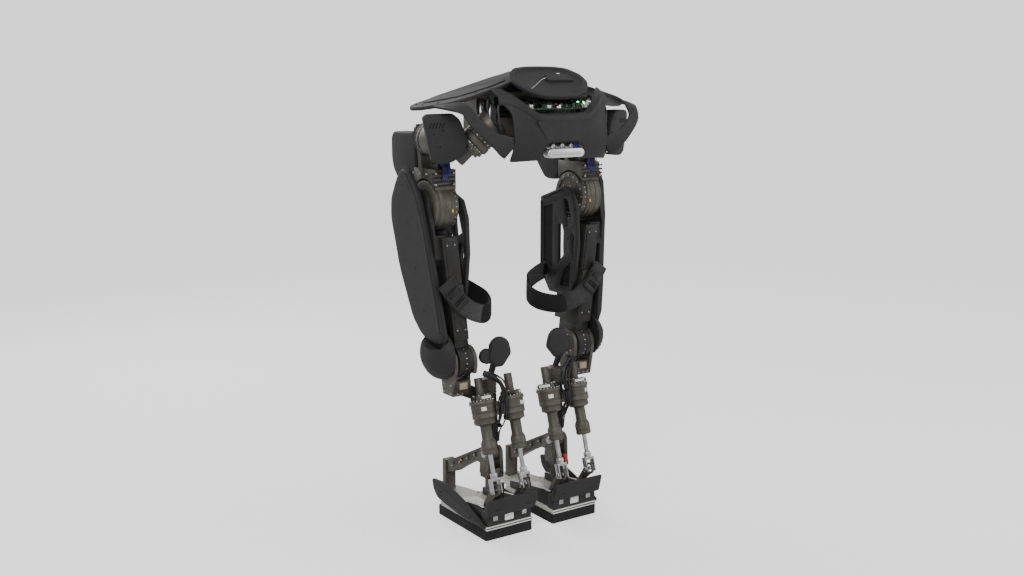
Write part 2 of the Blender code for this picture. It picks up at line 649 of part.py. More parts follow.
REACH = (ACTUATOR_PIN - ACTUATOR_PIVOT).length


def ankle_actuator(name, side):
    pivot, way = actuator_line(side)
    sides = 18
    profile = [
        (0, 0.121), (COLLAR_RADIUS - 0.004, 0.121), (COLLAR_RADIUS, 0.117), (COLLAR_RADIUS, 0.090),
        (COLLAR_RADIUS - 0.003, 0.084), (BARREL_RADIUS, 0.078), (BARREL_RADIUS, 0.040), (DRUM_RADIUS - 0.004, 0.036),
        (DRUM_RADIUS - 0.004, 0.020), (DRUM_RADIUS, 0.018), (DRUM_RADIUS, -0.018), (FLANGE_RADIUS, -0.020),
        (FLANGE_RADIUS, -0.030), (FLANGE_RADIUS - 0.006, -0.032), (FLANGE_RADIUS - 0.006, -0.044),
        (TAIL_RADIUS, -0.045), (TAIL_RADIUS, -0.094), (0, -0.094),
    ]
    body = turned(profile, pivot, way, sides)
    bore = cylinder(pivot + way * 0.016, pivot + way * 0.130, ROD_BORE, 16)
    trunnion = cylinder(pivot - Vector((side * 0.0310, 0, 0)), pivot - Vector((side * 0.0500, 0, 0)), 0.0078, 16)
    return part(name, ALLOY, body, cuts=[bore, trunnion])


def actuator_rod(name, side):
    pivot, way = actuator_line(side)
    return file_part(name, STEEL, cylinder(pivot + way * 0.050, pivot + way * (REACH - 0.032), ROD_RADIUS, 16))


def rod_end(name, side):
    """A neck over the rod, a fork round the foot's lug, and the fork's pin."""
    pivot, way = actuator_line(side)
    deep = way.cross(Vector((1, 0, 0)))

    def block(low, high, half_width, half_depth):
        turn = Matrix((Vector((1, 0, 0)), deep, way)).transposed().to_4x4()
        centre = pivot + way * (low + high) / 2
        size = Matrix.Diagonal((2 * half_width, 2 * half_depth, high - low, 1))
        bm = bmesh.new()
        bmesh.ops.create_cube(bm, size=1, matrix=Matrix.Translation(centre) @ turn @ size)
        return from_bmesh(bm)

    neck = cylinder(pivot + way * (REACH - 0.048), pivot + way * (REACH - 0.024), 0.0105, 16)
    fork = block(REACH - 0.033, REACH + 0.010, FORK_HALF_WIDTH, FORK_HALF_DEPTH)
    slot = block(REACH - 0.0255, REACH + 0.020, FORK_HALF_GAP, 0.03)
    bore = cylinder(pivot + way * (REACH - 0.060), pivot + way * (REACH - 0.020), ROD_BORE, 16)
    pin_at = pivot + way * REACH
    pin = cylinder(pin_at - Vector((FORK_HALF_WIDTH - 0.001, 0, 0)), pin_at + Vector((FORK_HALF_WIDTH - 0.001, 0, 0)),
                   PIN_RADIUS, 12)
    body = part("fork", STEEL, fork, joined=[neck], cuts=[slot, bore])
    ROBOT.objects.unlink(body)
    SHAPES.objects.link(body)
    return part(name, STEEL, body, joined=[pin])


def ankle_arm():
    """A fork on the ankle's pitch axis, an arch over the foot and a roll pin at each end."""
    def cheek(low, high):
        outline = [*circle(ANKLE_Y, ANKLE_Z, 0.020, 12, 0, math.pi), (0.014, 0.160), (0.062, 0.160)]
        return plate(outline, "x", low, high)

    arch_outline = [(0.006, 0.232), (-0.043, 0.208), (-0.121, 0.168), (-0.165, 0.146), (-0.186, 0.138),
                    (-0.186, 0.102), (-0.150, 0.112), (-0.087, 0.150), (-0.016, 0.188), (0.006, 0.192)]
    arch = plate(arch_outline, "x", 0.101, 0.129)
    shoulders = box((0.0885, 0.002, 0.190), (0.1415, 0.026, 0.2145))
    yoke_bridge = box((0.0885, 0.018, 0.150), (0.1415, 0.060, 0.178))
    hanger = box((0.1025, 0.022, 0.104), (0.1275, 0.060, 0.155))
    rear_pin = cylinder((ANKLE_X, 0.055, ANKLE_ROLL_Z), (ANKLE_X, 0.0795, ANKLE_ROLL_Z), 0.0070, 16)
    front_pin = cylinder((ANKLE_X, -0.180, ANKLE_ROLL_Z), (ANKLE_X, -0.2040, ANKLE_ROLL_Z), 0.0070, 16)
    clear = cylinder((0.1025, ANKLE_Y, ANKLE_Z), (0.1275, ANKLE_Y, ANKLE_Z), 0.0225, 24)
    cheeks = [cheek(0.0885, 0.1005), cheek(0.1295, 0.1415)]
    return part("left_ankle_arm", ALLOY, arch, joined=[shoulders, *cheeks, yoke_bridge, hanger, rear_pin, front_pin],
                cuts=[clear])


# ---------------------------------------------------------------- foot, left

def foot_plate():
    """The sole's backing plate with its nose, rails, roll bearings and the two clevis lugs."""
    x0, x1 = SOLE_X
    low, high = PLATE_Z
    nose = [(x0 + 0.002, 0.1305), (x0 + 0.002, -0.118), (x0 + 0.020, -0.132), (0.082, -0.222), (0.092, -0.230),
            (0.138, -0.230), (0.148, -0.222), (x1 - 0.020, -0.132), (x1 - 0.002, -0.118), (x1 - 0.002, 0.1305)]
    base = plate(nose, "z", low, high)
    rail = [(-0.105, 0.039), (0.098, 0.039), (0.098, 0.088), (0.070, 0.088), (-0.105, 0.062)]
    rails = [plate(rail, "x", x, x + 0.009) for x in (0.046, 0.176)]
    toe_post = box((0.098, -0.2080, 0.039), (0.132, -0.1885, 0.138))
    rear_post = box((0.098, 0.0625, 0.039), (0.132, 0.0780, 0.138))
    joined = [*rails, toe_post, rear_post]
    pin_y, pin_z = ACTUATOR_PIN.y, ACTUATOR_PIN.z
    for side in (-1, 1):
        x = ANKLE_X + side * ACTUATOR_OFFSET
        stem = [(0.070, 0.039), (0.0975, 0.039), (0.0975, 0.094), (pin_y + 0.004, pin_z - 0.0165),
                (pin_y - 0.014, pin_z + 0.0095), (0.078, 0.094)]
        joined += [plate(stem, "x", x - LUG_HALF, x + LUG_HALF),
                   cylinder((x - LUG_HALF, pin_y, pin_z), (x + LUG_HALF, pin_y, pin_z), LUG_RADIUS)]
    cuts = [cylinder((0.05, pin_y, pin_z), (0.18, pin_y, pin_z), LUG_HOLE_RADIUS, 20),
            cylinder((ANKLE_X, 0.050, ANKLE_ROLL_Z), (ANKLE_X, 0.090, ANKLE_ROLL_Z), 0.0078, 16),
            cylinder((ANKLE_X, -0.240, ANKLE_ROLL_Z), (ANKLE_X, -0.150, ANKLE_ROLL_Z), 0.0078, 16)]
    return part("left_foot_plate", CREAM, base, joined=joined, cuts=cuts)


def foot_sole():
    x0, x1 = SOLE_X
    sole = box((x0, -SOLE_HALF_LENGTH, 0), (x1, SOLE_HALF_LENGTH, SOLE_HEIGHT))
    return part("left_foot_sole", RUBBER, sole)


def heel_box():
    """The sensor box on the heel, with the bumper band behind and above it."""
    case = box((0.040, 0.1005, PLATE_Z[1] + GAP), (0.191, 0.1305, 0.084))
    band = [(0.1270, 0.070), (0.1270, 0.096), (0.1460, 0.125), (0.1540, 0.125), (0.1400, 0.070)]
    bumper = plate(band, "x", 0.034, 0.198)
    notch = [plate([(0.09, 0.090), (0.1455, 0.1265), (0.1455, 0.14), (0.09, 0.14)], "x", x - 0.008, x + 0.008)
             for x in (ANKLE_X - ACTUATOR_OFFSET, ANKLE_X + ACTUATOR_OFFSET)]
    return part("left_heel_box", SHELL, case, joined=[bumper], cuts=notch)


def foot_cover():
    outline = [(-0.158, 0.100), (-0.150, 0.072), (-0.128, 0.052), (0.0, 0.036), (0.126, 0.034), (0.132, 0.044),
               (0.100, 0.060), (0.010, 0.092), (-0.080, 0.112), (-0.146, 0.106)]
    return part("left_foot_cover", SHELL, plate(outline, "x", 0.1955, 0.2025), bevel=0.002,
                joined=[box((0.1853, -0.060, 0.0455), (0.1965, 0.060, 0.056))])


# ---------------------------------------------------------------- assembly

def mirrored(obj, name):
    mesh = obj.data.copy()
    mesh.transform(Matrix.Scale(-1, 4, (1, 0, 0)))
    mesh.flip_normals()
    twin = bpy.data.objects.new(name, mesh)
    mesh.name = name
    ROBOT.objects.link(twin)
    return twin


def joint(name, place, parent):
    empty = bpy.data.objects.new(name + "_joint", None)
    empty.empty_display_size = 0.03
    ROBOT.objects.link(empty)
    empty.location = place
    bpy.context.view_layer.update()
    adopt(parent, [empty])
    return empty


def adopt(parent, children):
    """Parents objects to another without moving them."""
    for child in children:
        if parent:
            child.parent = parent
            child.matrix_parent_inverse = parent.matrix_world.inverted()
    bpy.context.view_layer.update()


PELVIS = [pelvis_frame(), battery_pack(), electronics_tray(), rear_shell(), depth_camera()]
HATCH = top_hatch()
WING = wing()
PELVIS += [WING, mirrored(WING, "wing_right")]

OUTER, INNER = 1, -1
LEG = [
    ("hip_yaw_motor_mount", None, [hip_yaw_motor]),
    ("hip_yaw", HIP_YAW_AT, [hip_roll_motor, hip_cover]),
    ("hip_roll", (HIP_ROLL_X, 0, HIP_ROLL_Z), [hip_yoke, hip_pitch_motor, hip_pod]),
    ("hip_pitch", (HIP_ROLL_X, HIP_PITCH_Y, HIP_PITCH_Z),
     [thigh_frame, thigh_shell, thigh_truss, thigh_strap, knee_motor, knee_cover]),
    ("knee", (0.24, KNEE_Y, KNEE_Z), [shin_frame, calf_cuff, shin_harness]),
    ("ankle_pitch", (ANKLE_X, ANKLE_Y, ANKLE_Z), [ankle_arm]),
    ("ankle_roll", (ANKLE_X, 0, ANKLE_ROLL_Z), [foot_plate, foot_sole, heel_box, foot_cover]),
]


def actuators():
    """Each ankle actuator: its housing, its rod and its rod end, each on an empty of its own."""
    made = []
    for label, side in (("outer", OUTER), ("inner", INNER)):
        pivot, way = actuator_line(side)
        made.append((f"actuator_{label}", pivot, ankle_actuator(f"left_ankle_actuator_{label}", side)))
        made.append((f"rod_{label}", pivot + way * 0.12, actuator_rod(f"left_actuator_rod_{label}", side)))
        made.append((f"rod_end_{label}", pivot + way * REACH, rod_end(f"left_rod_end_{label}", side)))
    return made


def build_legs():
    left = {name: [make() for make in makers] for name, _, makers in LEG}
    actuator_parts = actuators()
    for side, sign in (("left", 1), ("right", -1)):
        def own(obj):
            return obj if side == "left" else mirrored(obj, obj.name.replace("left_", "right_"))

        parent = None
        knee = None
        for name, place, _ in LEG:
            if place is not None:
                x, y, z = place
                parent = joint(f"{side}_{name}", (sign * x, y, z), parent)
            knee = parent if name == "knee" else knee
            adopt(parent, [own(obj) for obj in left[name]])
        above = knee
        for name, (x, y, z), obj in actuator_parts:
            above = knee if name.startswith("actuator") else above
            above = joint(f"{side}_{name}", (sign * x, y, z), above)
            adopt(above, [own(obj)])


build_legs()
adopt(joint("hatch_hinge", (0, HATCH_HINGE_Y, HATCH_HINGE_Z), None), [HATCH])
for leftover in list(SHAPES.objects):
    bpy.data.objects.remove(leftover, do_unlink=True)
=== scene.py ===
"""The looks of the humanoid robot kit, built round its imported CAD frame.

Everything is in the row frame, in metres: +Z up, +X to the robot's left, and the robot faces -Y.
The left leg's pieces are modelled, and each is mirrored for the right leg.
"""

import json
import math
import random

import bmesh
import bpy
from mathutils import Matrix, Vector

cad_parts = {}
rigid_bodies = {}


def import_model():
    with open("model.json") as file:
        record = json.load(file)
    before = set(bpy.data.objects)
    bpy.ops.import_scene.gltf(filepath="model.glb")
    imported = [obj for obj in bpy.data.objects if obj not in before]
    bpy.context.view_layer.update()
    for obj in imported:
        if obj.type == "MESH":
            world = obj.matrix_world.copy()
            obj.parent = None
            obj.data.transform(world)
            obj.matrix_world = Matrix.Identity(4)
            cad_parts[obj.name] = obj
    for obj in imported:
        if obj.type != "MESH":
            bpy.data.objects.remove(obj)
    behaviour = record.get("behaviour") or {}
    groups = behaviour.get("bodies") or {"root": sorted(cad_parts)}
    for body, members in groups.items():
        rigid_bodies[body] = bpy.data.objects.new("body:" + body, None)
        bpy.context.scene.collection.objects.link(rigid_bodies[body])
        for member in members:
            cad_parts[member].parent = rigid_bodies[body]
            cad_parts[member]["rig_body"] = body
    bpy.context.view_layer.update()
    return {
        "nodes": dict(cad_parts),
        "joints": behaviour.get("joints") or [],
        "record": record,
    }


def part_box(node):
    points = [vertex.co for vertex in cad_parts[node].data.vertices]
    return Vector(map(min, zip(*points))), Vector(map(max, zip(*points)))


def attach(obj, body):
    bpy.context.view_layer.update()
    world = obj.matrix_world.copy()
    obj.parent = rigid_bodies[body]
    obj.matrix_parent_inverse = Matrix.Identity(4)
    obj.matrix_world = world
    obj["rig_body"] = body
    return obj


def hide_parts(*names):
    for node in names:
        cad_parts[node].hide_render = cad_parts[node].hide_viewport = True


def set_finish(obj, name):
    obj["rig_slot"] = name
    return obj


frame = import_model()
JOINTS = {joint["name"]: joint for joint in frame["joints"]}
NODES = frame["nodes"]
BODIES = frame["record"]["behaviour"]["bodies"]
BODY_OF = {node: body for body, members in BODIES.items() for node in members}
SLOT_OF = {entry["node"]: entry["material_slot"] for entry in frame["record"]["subparts"]}
X, Y, Z = Vector((1, 0, 0)), Vector((0, 1, 0)), Vector((0, 0, 1))
TURN = 2 * math.pi


# ---------------------------------------------------------------- materials

class Graph:
    """A material's node tree, with a few short ways to add to it."""

    def __init__(self, name):
        self.material = bpy.data.materials.new(name)
        self.material.use_nodes = True
        self.nodes = self.material.node_tree.nodes
        self.links = self.material.node_tree.links
        self.shader = self.nodes["Principled BSDF"]

    def add(self, kind, **values):
        node = self.nodes.new(kind)
        for key, value in values.items():
            setattr(node, key, value)
        return node

    def join(self, source, target):
        self.links.new(source, target)

    def coordinates(self, scale=(1, 1, 1), turn=(0, 0, 0), uv=False):
        place = self.add("ShaderNodeTexCoord")
        mapping = self.add("ShaderNodeMapping")
        mapping.inputs["Scale"].default_value = scale
        mapping.inputs["Rotation"].default_value = turn
        self.join(place.outputs["UV" if uv else "Object"], mapping.inputs["Vector"])
        return mapping.outputs["Vector"]

    def noise(self, scale, detail=4.0, where=None, rough=0.55):
        node = self.add("ShaderNodeTexNoise")
        node.inputs["Scale"].default_value = scale
        node.inputs["Detail"].default_value = detail
        node.inputs["Roughness"].default_value = rough
        self.join(where or self.coordinates(), node.inputs["Vector"])
        return node.outputs["Fac"]

    def ramp(self, value, low, high, low_colour, high_colour):
        node = self.add("ShaderNodeValToRGB")
        first, last = node.color_ramp.elements
        first.position, last.position = low, high
        first.color, last.color = (*low_colour, 1), (*high_colour, 1)
        self.join(value, node.inputs["Fac"])
        return node.outputs["Color"]

    def spread(self, value, low, high, to_low, to_high):
        node = self.add("ShaderNodeMapRange")
        for key, number in zip(("From Min", "From Max", "To Min", "To Max"), (low, high, to_low, to_high)):
            node.inputs[key].default_value = number
        self.join(value, node.inputs["Value"])
        return node.outputs["Result"]

    def mix(self, factor, one, two, blend="MIX"):
        node = self.add("ShaderNodeMix", data_type="RGBA", blend_type=blend)
        for socket, value in ((node.inputs["Factor"], factor), (node.inputs[6], one), (node.inputs[7], two)):
            if isinstance(value, (int, float)):
                socket.default_value = value
            elif isinstance(value, tuple):
                socket.default_value = (*value, 1)
            else:
                self.join(value, socket)
        return node.outputs[2]

    def math(self, operation, one, two):
        node = self.add("ShaderNodeMath", operation=operation)
        for socket, value in zip(node.inputs, (one, two)):
            if isinstance(value, (int, float)):
                socket.default_value = value
            else:
                self.join(value, socket)
        return node.outputs["Value"]

    def bump(self, height, distance, strength=1.0):
        node = self.add("ShaderNodeBump")
        node.inputs["Distance"].default_value = distance
        node.inputs["Strength"].default_value = strength
        self.join(height, node.inputs["Height"])
        self.join(node.outputs["Normal"], self.shader.inputs["Normal"])

    def edges(self, low=0.505, high=0.56):
        """How strongly an edge takes the edge colour (wear, and on the cream coat dirt with painted shade): 0
        on flat faces and 1 on sharp outer edges.
        """
        shape = self.add("ShaderNodeNewGeometry")
        return self.spread(shape.outputs["Pointiness"], low, high, 0.0, 1.0)


def finish_of(name, dark, light, metallic=0.0, roughness=(0.45, 0.65), grain=(900, 0.00012), streak=None,
              wear_and_shade_colour=None, wear_and_shade_amount=0.5, gloss=0.5):
    """A moulded, painted or machined surface: clouded colour, fine grain, streaks, and edges that show wear; on
    the cream coat the edges carry dirt with painted shade.
    """
    g = Graph(name)
    clouds = g.noise(9.0, 5.0)
    specks = g.noise(260.0, 3.0)
    colour = g.ramp(clouds, 0.3, 0.7, dark, light)
    colour = g.mix(g.spread(specks, 0.35, 0.75, 0.0, 0.35), colour, tuple(min(1, c * 1.5) for c in light))
    height = g.noise(grain[0], 2.0)
    if streak:
        lines = g.noise(streak[0], 2.0, g.coordinates(streak[1]))
        colour = g.mix(g.spread(lines, 0.3, 0.8, 0.0, 0.5), colour, dark)
        height = g.math("ADD", height, g.math("MULTIPLY", lines, 0.8))
    # Edge colour: wear on most finishes; on the cream coat it darkens the edges, as dirt with painted shade.
    if wear_and_shade_colour:
        wear_and_shade_mask = g.math("MULTIPLY", g.edges(), g.spread(g.noise(55.0, 4.0), 0.35, 0.65, 0.0, wear_and_shade_amount))
        colour = g.mix(wear_and_shade_mask, colour, wear_and_shade_colour)
    g.join(colour, g.shader.inputs["Base Color"])
    smudges = g.noise(34.0, 4.0)
    g.join(g.spread(smudges, 0.3, 0.7, *roughness), g.shader.inputs["Roughness"])
    g.shader.inputs["Metallic"].default_value = metallic
    g.shader.inputs["Specular IOR Level"].default_value = gloss
    g.bump(height, grain[1])
    return g.material


def weave_of(name, dark, light, pitch, depth):
    """Woven webbing: warp and weft threads that cross, along and across the strap's own UV map."""
    g = Graph(name)
    threads = []
    for turn in (0.0, math.pi / 2):
        wave = g.add("ShaderNodeTexWave", wave_type="BANDS", bands_direction="X")
        wave.inputs["Scale"].default_value = pitch
        wave.inputs["Distortion"].default_value = 0.4
        wave.inputs["Detail"].default_value = 1.0
        g.join(g.coordinates((1, 1, 1), (0, 0, turn), uv=True), wave.inputs["Vector"])
        threads.append(wave.outputs["Fac"])
    cloth = g.math("MAXIMUM", *threads)
    fuzz = g.noise(700.0, 4.0)
    colour = g.ramp(g.math("MULTIPLY", cloth, g.spread(fuzz, 0.2, 0.8, 0.6, 1.2)), 0.2, 0.95, dark, light)
    g.join(colour, g.shader.inputs["Base Color"])
    g.join(g.spread(fuzz, 0.3, 0.7, 0.8, 0.98), g.shader.inputs["Roughness"])
    g.shader.inputs["Sheen Weight"].default_value = 0.25
    g.bump(g.math("ADD", cloth, g.math("MULTIPLY", fuzz, 0.4)), depth)
    return g.material


def lamp_of(name, colour, power):
    g = Graph(name)
    glow = g.spread(g.noise(400.0, 2.0), 0.2, 0.8, power * 0.7, power)
    g.shader.inputs["Base Color"].default_value = (*colour, 1)
    g.shader.inputs["Emission Color"].default_value = (*colour, 1)
    g.join(glow, g.shader.inputs["Emission Strength"])
    g.shader.inputs["Roughness"].default_value = 0.3
    return g.material


def circuit_of(name):
    """Solder mask with tracks and pads, drawn by crossed bands and cells."""
    g = Graph(name)
    cells = g.add("ShaderNodeTexVoronoi", feature="F1", distance="CHEBYCHEV")
    cells.inputs["Scale"].default_value = 150.0
    g.join(g.coordinates(), cells.inputs["Vector"])
    tracks = g.noise(70.0, 2.0, g.coordinates((1, 8, 8)))
    colour = g.ramp(tracks, 0.45, 0.55, (0.004, 0.022, 0.012), (0.012, 0.060, 0.030))
    colour = g.mix(g.spread(cells.outputs["Distance"], 0.10, 0.16, 0.9, 0.0), colour, (0.50, 0.44, 0.30))
    g.join(colour, g.shader.inputs["Base Color"])
    g.join(g.spread(tracks, 0.3, 0.7, 0.3, 0.5), g.shader.inputs["Roughness"])
    g.bump(cells.outputs["Distance"], 0.0004)
    return g.material


SHELL = finish_of("shell_moulding", (0.0175, 0.0172, 0.0172), (0.0205, 0.0200, 0.0200),
                  roughness=(0.54, 0.62), grain=(1500, 0.00010), wear_and_shade_colour=(0.060, 0.060, 0.062), wear_and_shade_amount=0.12,
                  gloss=0.30)
PAD = finish_of("pad_foam", (0.008, 0.008, 0.0085), (0.014, 0.014, 0.0145), roughness=(0.78, 0.92),
                grain=(700, 0.0004), gloss=0.20)
ALLOY = finish_of("bronze_anodising", (0.072, 0.064, 0.052), (0.090, 0.080, 0.065), 0.55, (0.42, 0.58),
                  (1300, 0.00008), (60, (1, 1, 26)), (0.26, 0.24, 0.21), 0.25)
DARK = finish_of("dark_coating", (0.016, 0.0153, 0.0145), (0.021, 0.0200, 0.0190), 0.25, (0.42, 0.58),
                 (1200, 0.00010), wear_and_shade_colour=(0.08, 0.075, 0.07), wear_and_shade_amount=0.15, gloss=0.35)
STEEL = finish_of("turned_steel", (0.30, 0.30, 0.30), (0.44, 0.44, 0.44), 1.0, (0.22, 0.38), (900, 0.00004),
                  (90, (1, 1, 30)), (0.85, 0.85, 0.85), 0.4)
BLACK_OXIDE = finish_of("black_oxide", (0.016, 0.016, 0.017), (0.030, 0.030, 0.031), 0.8, (0.34, 0.5),
                        (900, 0.00005), wear_and_shade_colour=(0.12, 0.12, 0.12), wear_and_shade_amount=0.2)
RUBBER = finish_of("sole_rubber", (0.010, 0.010, 0.011), (0.017, 0.017, 0.018), roughness=(0.74, 0.9),
                   grain=(600, 0.0003), gloss=0.25)
# The cream coat's edge colour is darker than the coat: dirt with painted shade along its edges.
CREAM = finish_of("cream_coating", (0.40, 0.38, 0.33), (0.55, 0.53, 0.47), 0.15, (0.38, 0.55), (800, 0.00008),
                  wear_and_shade_colour=(0.26, 0.25, 0.22), wear_and_shade_amount=0.3)
SILVER = finish_of("blasted_silver", (0.52, 0.52, 0.52), (0.66, 0.66, 0.66), 0.85, (0.26, 0.40),
                   (1600, 0.00006), wear_and_shade_colour=(0.85, 0.85, 0.85), wear_and_shade_amount=0.5)
LABEL = finish_of("blank_label", (0.70, 0.70, 0.68), (0.80, 0.80, 0.78), 0.0, (0.35, 0.5), (500, 0.00003))
CABLE = finish_of("cable_jacket", (0.008, 0.008, 0.009), (0.016, 0.016, 0.017), 0.0, (0.4, 0.6),
                  (700, 0.0001))
RED = finish_of("red_plastic", (0.36, 0.012, 0.014), (0.52, 0.020, 0.022), 0.0, (0.35, 0.5), (500, 0.0001))
BLUE = finish_of("blue_wire", (0.03, 0.02, 0.30), (0.06, 0.04, 0.46), 0.0, (0.35, 0.5), (500, 0.0001))
TAN = finish_of("tan_block", (0.26, 0.21, 0.15), (0.34, 0.28, 0.21), 0.0, (0.5, 0.7), (500, 0.0001))
YELLOW = finish_of("yellow_mark", (0.55, 0.36, 0.04), (0.68, 0.45, 0.06), 0.0, (0.4, 0.6), (500, 0.0001))
BOARD = circuit_of("solder_mask")
WEAVE = weave_of("black_webbing", (0.003, 0.003, 0.0035), (0.016, 0.016, 0.017), 95.0, 0.0006)
GREEN_LIGHT = lamp_of("green_light", (0.01, 1.0, 0.22), 9.0)
PALE_LIGHT = lamp_of("pale_light", (0.5, 0.9, 1.0), 1.2)

SLOT_LOOK = {"shell_plastic": SHELL, "anodised_alloy": ALLOY, "bright_steel": STEEL, "dark_metal": DARK,
             "rubber": RUBBER, "webbing": WEAVE, "circuit_board": BOARD, "cream_plate": CREAM,
             "camera_body": SILVER}
for node, thing in NODES.items():
    for holder in thing.material_slots:
        holder.material = SLOT_LOOK[SLOT_OF[node]]


# ---------------------------------------------------------------- shapes

def facing(start, way):
    """A matrix at start whose Z runs along way."""
    return Matrix.Translation(start) @ Vector(way).to_track_quat("Z", "Y").to_matrix().to_4x4()


def arc(u, v, radius, steps=24, start=0.0, sweep=TURN):
    count = steps if sweep >= TURN - 1e-6 else steps + 1
    return [(u + radius * math.cos(start + sweep * k / steps),
             v + radius * math.sin(start + sweep * k / steps))
            for k in range(count)]


def rounded(outline, radius, steps=4):
    """An outline with its corners rounded, each by no more than a third of its sides."""
    made = []
    count = len(outline)
    for i, corner in enumerate(outline):
        corner = Vector(corner)
        before = Vector(outline[i - 1]) - corner
        after = Vector(outline[(i + 1) % count]) - corner
        reach = min(radius, before.length / 3, after.length / 3)
        one, two = corner + before.normalized() * reach, corner + after.normalized() * reach
        for k in range(steps + 1):
            t = k / steps
            made.append(tuple((1 - t) ** 2 * one + 2 * t * (1 - t) * corner + t * t * two))
    return made


def scaled(outline, factor, centre=None):
    u0, v0 = centre or (sum(p[0] for p in outline) / len(outline), sum(p[1] for p in outline) / len(outline))
    return [(u0 + (u - u0) * factor, v0 + (v - v0) * factor) for u, v in outline]


def curve_through(points, steps=6):
    """Points along a smooth curve through the given ones."""
    points = [Vector(p) for p in points]
    ends = [2 * points[0] - points[1], *points, 2 * points[-1] - points[-2]]
    route = []
    for a, b, c, d in zip(ends, ends[1:], ends[2:], ends[3:]):
        for k in range(steps):
            t = k / steps
            route.append(0.5 * (2 * b + (c - a) * t + (2 * a - 5 * b + 4 * c - d) * t * t
                                + (3 * b - a - 3 * c + d) * t ** 3))
    return [*route, points[-1]]


AXES = {
    "x": Matrix(((0, 0, 1, 0), (1, 0, 0, 0), (0, 1, 0, 0), (0, 0, 0, 1))),
    "y": Matrix(((1, 0, 0, 0), (0, 0, 1, 0), (0, 1, 0, 0), (0, 0, 0, 1))),
    "z": Matrix.Identity(4),
}


class Form:
    """Closed shapes gathered into one mesh."""

    def __init__(self):
        self.bm = bmesh.new()

    def rings(self, rings, cap=True, loop=False):
        """A skin over rings of points, closed by a face at each end."""
        rows = [[self.bm.verts.new(p) for p in ring] for ring in rings]
        made = []
        pairs = list(zip(rows, rows[1:])) + ([(rows[-1], rows[0])] if loop else [])
        for one, two in pairs:
            for k in range(len(one)):
                n = (k + 1) % len(one)
                made.append(self.bm.faces.new((one[k], one[n], two[n], two[k])))
        if cap and not loop:
            made += [self.bm.faces.new(rows[0]), self.bm.faces.new(rows[-1])]
        bmesh.ops.recalc_face_normals(self.bm, faces=made)
        return self

    def slab(self, low, high, place=Matrix.Identity(4)):
        low, high = Vector(low), Vector(high)
        corners = [(low.x, low.y), (high.x, low.y), (high.x, high.y), (low.x, high.y)]
        return self.rings([[place @ Vector((u, v, z)) for u, v in corners] for z in (low.z, high.z)])

    def plate(self, outline, axis, levels, place=Matrix.Identity(4)):
        """An outline with thickness: levels is a list of (distance along axis, scale of the outline)."""
        turn = place @ AXES[axis]
        centre = (sum(p[0] for p in outline) / len(outline), sum(p[1] for p in outline) / len(outline))
        return self.rings([
            [turn @ Vector((u, v, w)) for u, v in scaled(outline, factor, centre)] for w, factor in levels
        ])

    def turned(self, profile, start, way, sides=48):
        """A solid of revolution: (radius, distance) pairs along way."""
        turn = facing(start, way)
        return self.rings([
            [turn @ Vector((r * math.cos(TURN * k / sides), r * math.sin(TURN * k / sides),
                            s)) for k in range(sides)]
            for r, s in profile
        ])

    def tube(self, route, radius, sides=10):
        """A cable along a route; radius is one number, or one for each point."""
        sizes = radius if isinstance(radius, (list, tuple)) else [radius] * len(route)
        side = None
        rings = []
        for i, point in enumerate(route):
            way = (route[min(i + 1, len(route) - 1)] - route[max(i - 1, 0)]).normalized()
            if side is None:
                side = way.orthogonal().normalized()
            side = (side - way * side.dot(way)).normalized()
            up = way.cross(side)
            angles = [TURN * k / sides for k in range(sides)]
            rings.append([point + (side * math.cos(a) + up * math.sin(a)) * sizes[i] for a in angles])
        return self.rings(rings)

    def bolt(self, at, way, radius, height=0.003, sides=12):
        """A socket head: a drum with a rounded rim and a six-sided hole."""
        turn = facing(at, way)
        levels = [(radius, -0.002), (radius, height * 0.8), (radius * 0.88, height), (radius * 0.55, height)]
        rings = [[turn @ Vector((r * math.cos(TURN * k / sides), r * math.sin(TURN * k / sides), s))
                  for k in range(sides)] for r, s in levels]
        for s in (height, height * 0.35):
            hexagon = []
            for k in range(sides):
                a = TURN * k / sides
                reach = radius * 0.5 * math.cos(math.pi / 6) / math.cos((a % (math.pi / 3)) - math.pi / 6)
                hexagon.append(turn @ Vector((reach * math.cos(a), reach * math.sin(a), s)))
            rings.append(hexagon)
        return self.rings(rings)

    def bolt_ring(self, centre, way, reach, count, radius, height=0.003, start=0.0, sweep=TURN):
        turn = facing(centre, way)
        for k in range(count):
            a = start + sweep * k / count
            self.bolt(turn @ Vector((reach * math.cos(a), reach * math.sin(a), 0)), way, radius, height)
        return self

    def mesh(self, name):
        data = bpy.data.meshes.new(name)
        self.bm.to_mesh(data)
        self.bm.free()
        return data


def own_copy(node):
    """A working copy of a CAD node's mesh, its seams welded and its flat faces whole."""
    form = Form()
    form.bm.from_mesh(NODES[node].data)
    bmesh.ops.remove_doubles(form.bm, verts=form.bm.verts, dist=2e-5)
    bmesh.ops.dissolve_limit(form.bm, angle_limit=math.radians(1.0), verts=form.bm.verts, edges=form.bm.edges)
    return form


def settled(thing):
    """The object with its modifiers applied."""
    bpy.context.view_layer.update()
    graph = bpy.context.evaluated_depsgraph_get()
    data = bpy.data.meshes.new_from_object(thing.evaluated_get(graph))
    old = thing.data
    thing.modifiers.clear()
    thing.data = data
    bpy.data.meshes.remove(old)
    return thing


def soften(thing, width, segments, angle=30.0):
    edge = thing.modifiers.new("Edges", "BEVEL")
    edge.width = width
    edge.segments = segments
    edge.limit_method = "ANGLE"
    edge.angle_limit = math.radians(angle)
    edge.harden_normals = True


def cut(thing, cutters):
    """Cuts each closed form out of the object."""
    for k, cutter in enumerate(cutters):
        tool = bpy.data.objects.new(f"tool_{k}", cutter.mesh("tool"))
        bpy.context.scene.collection.objects.link(tool)
        step = thing.modifiers.new("Cut", "BOOLEAN")
        step.operation = "DIFFERENCE"
        step.object = tool
        step.solver = "EXACT"
        settled(thing)
        data = tool.data
        bpy.data.objects.remove(tool)
        bpy.data.meshes.remove(data)


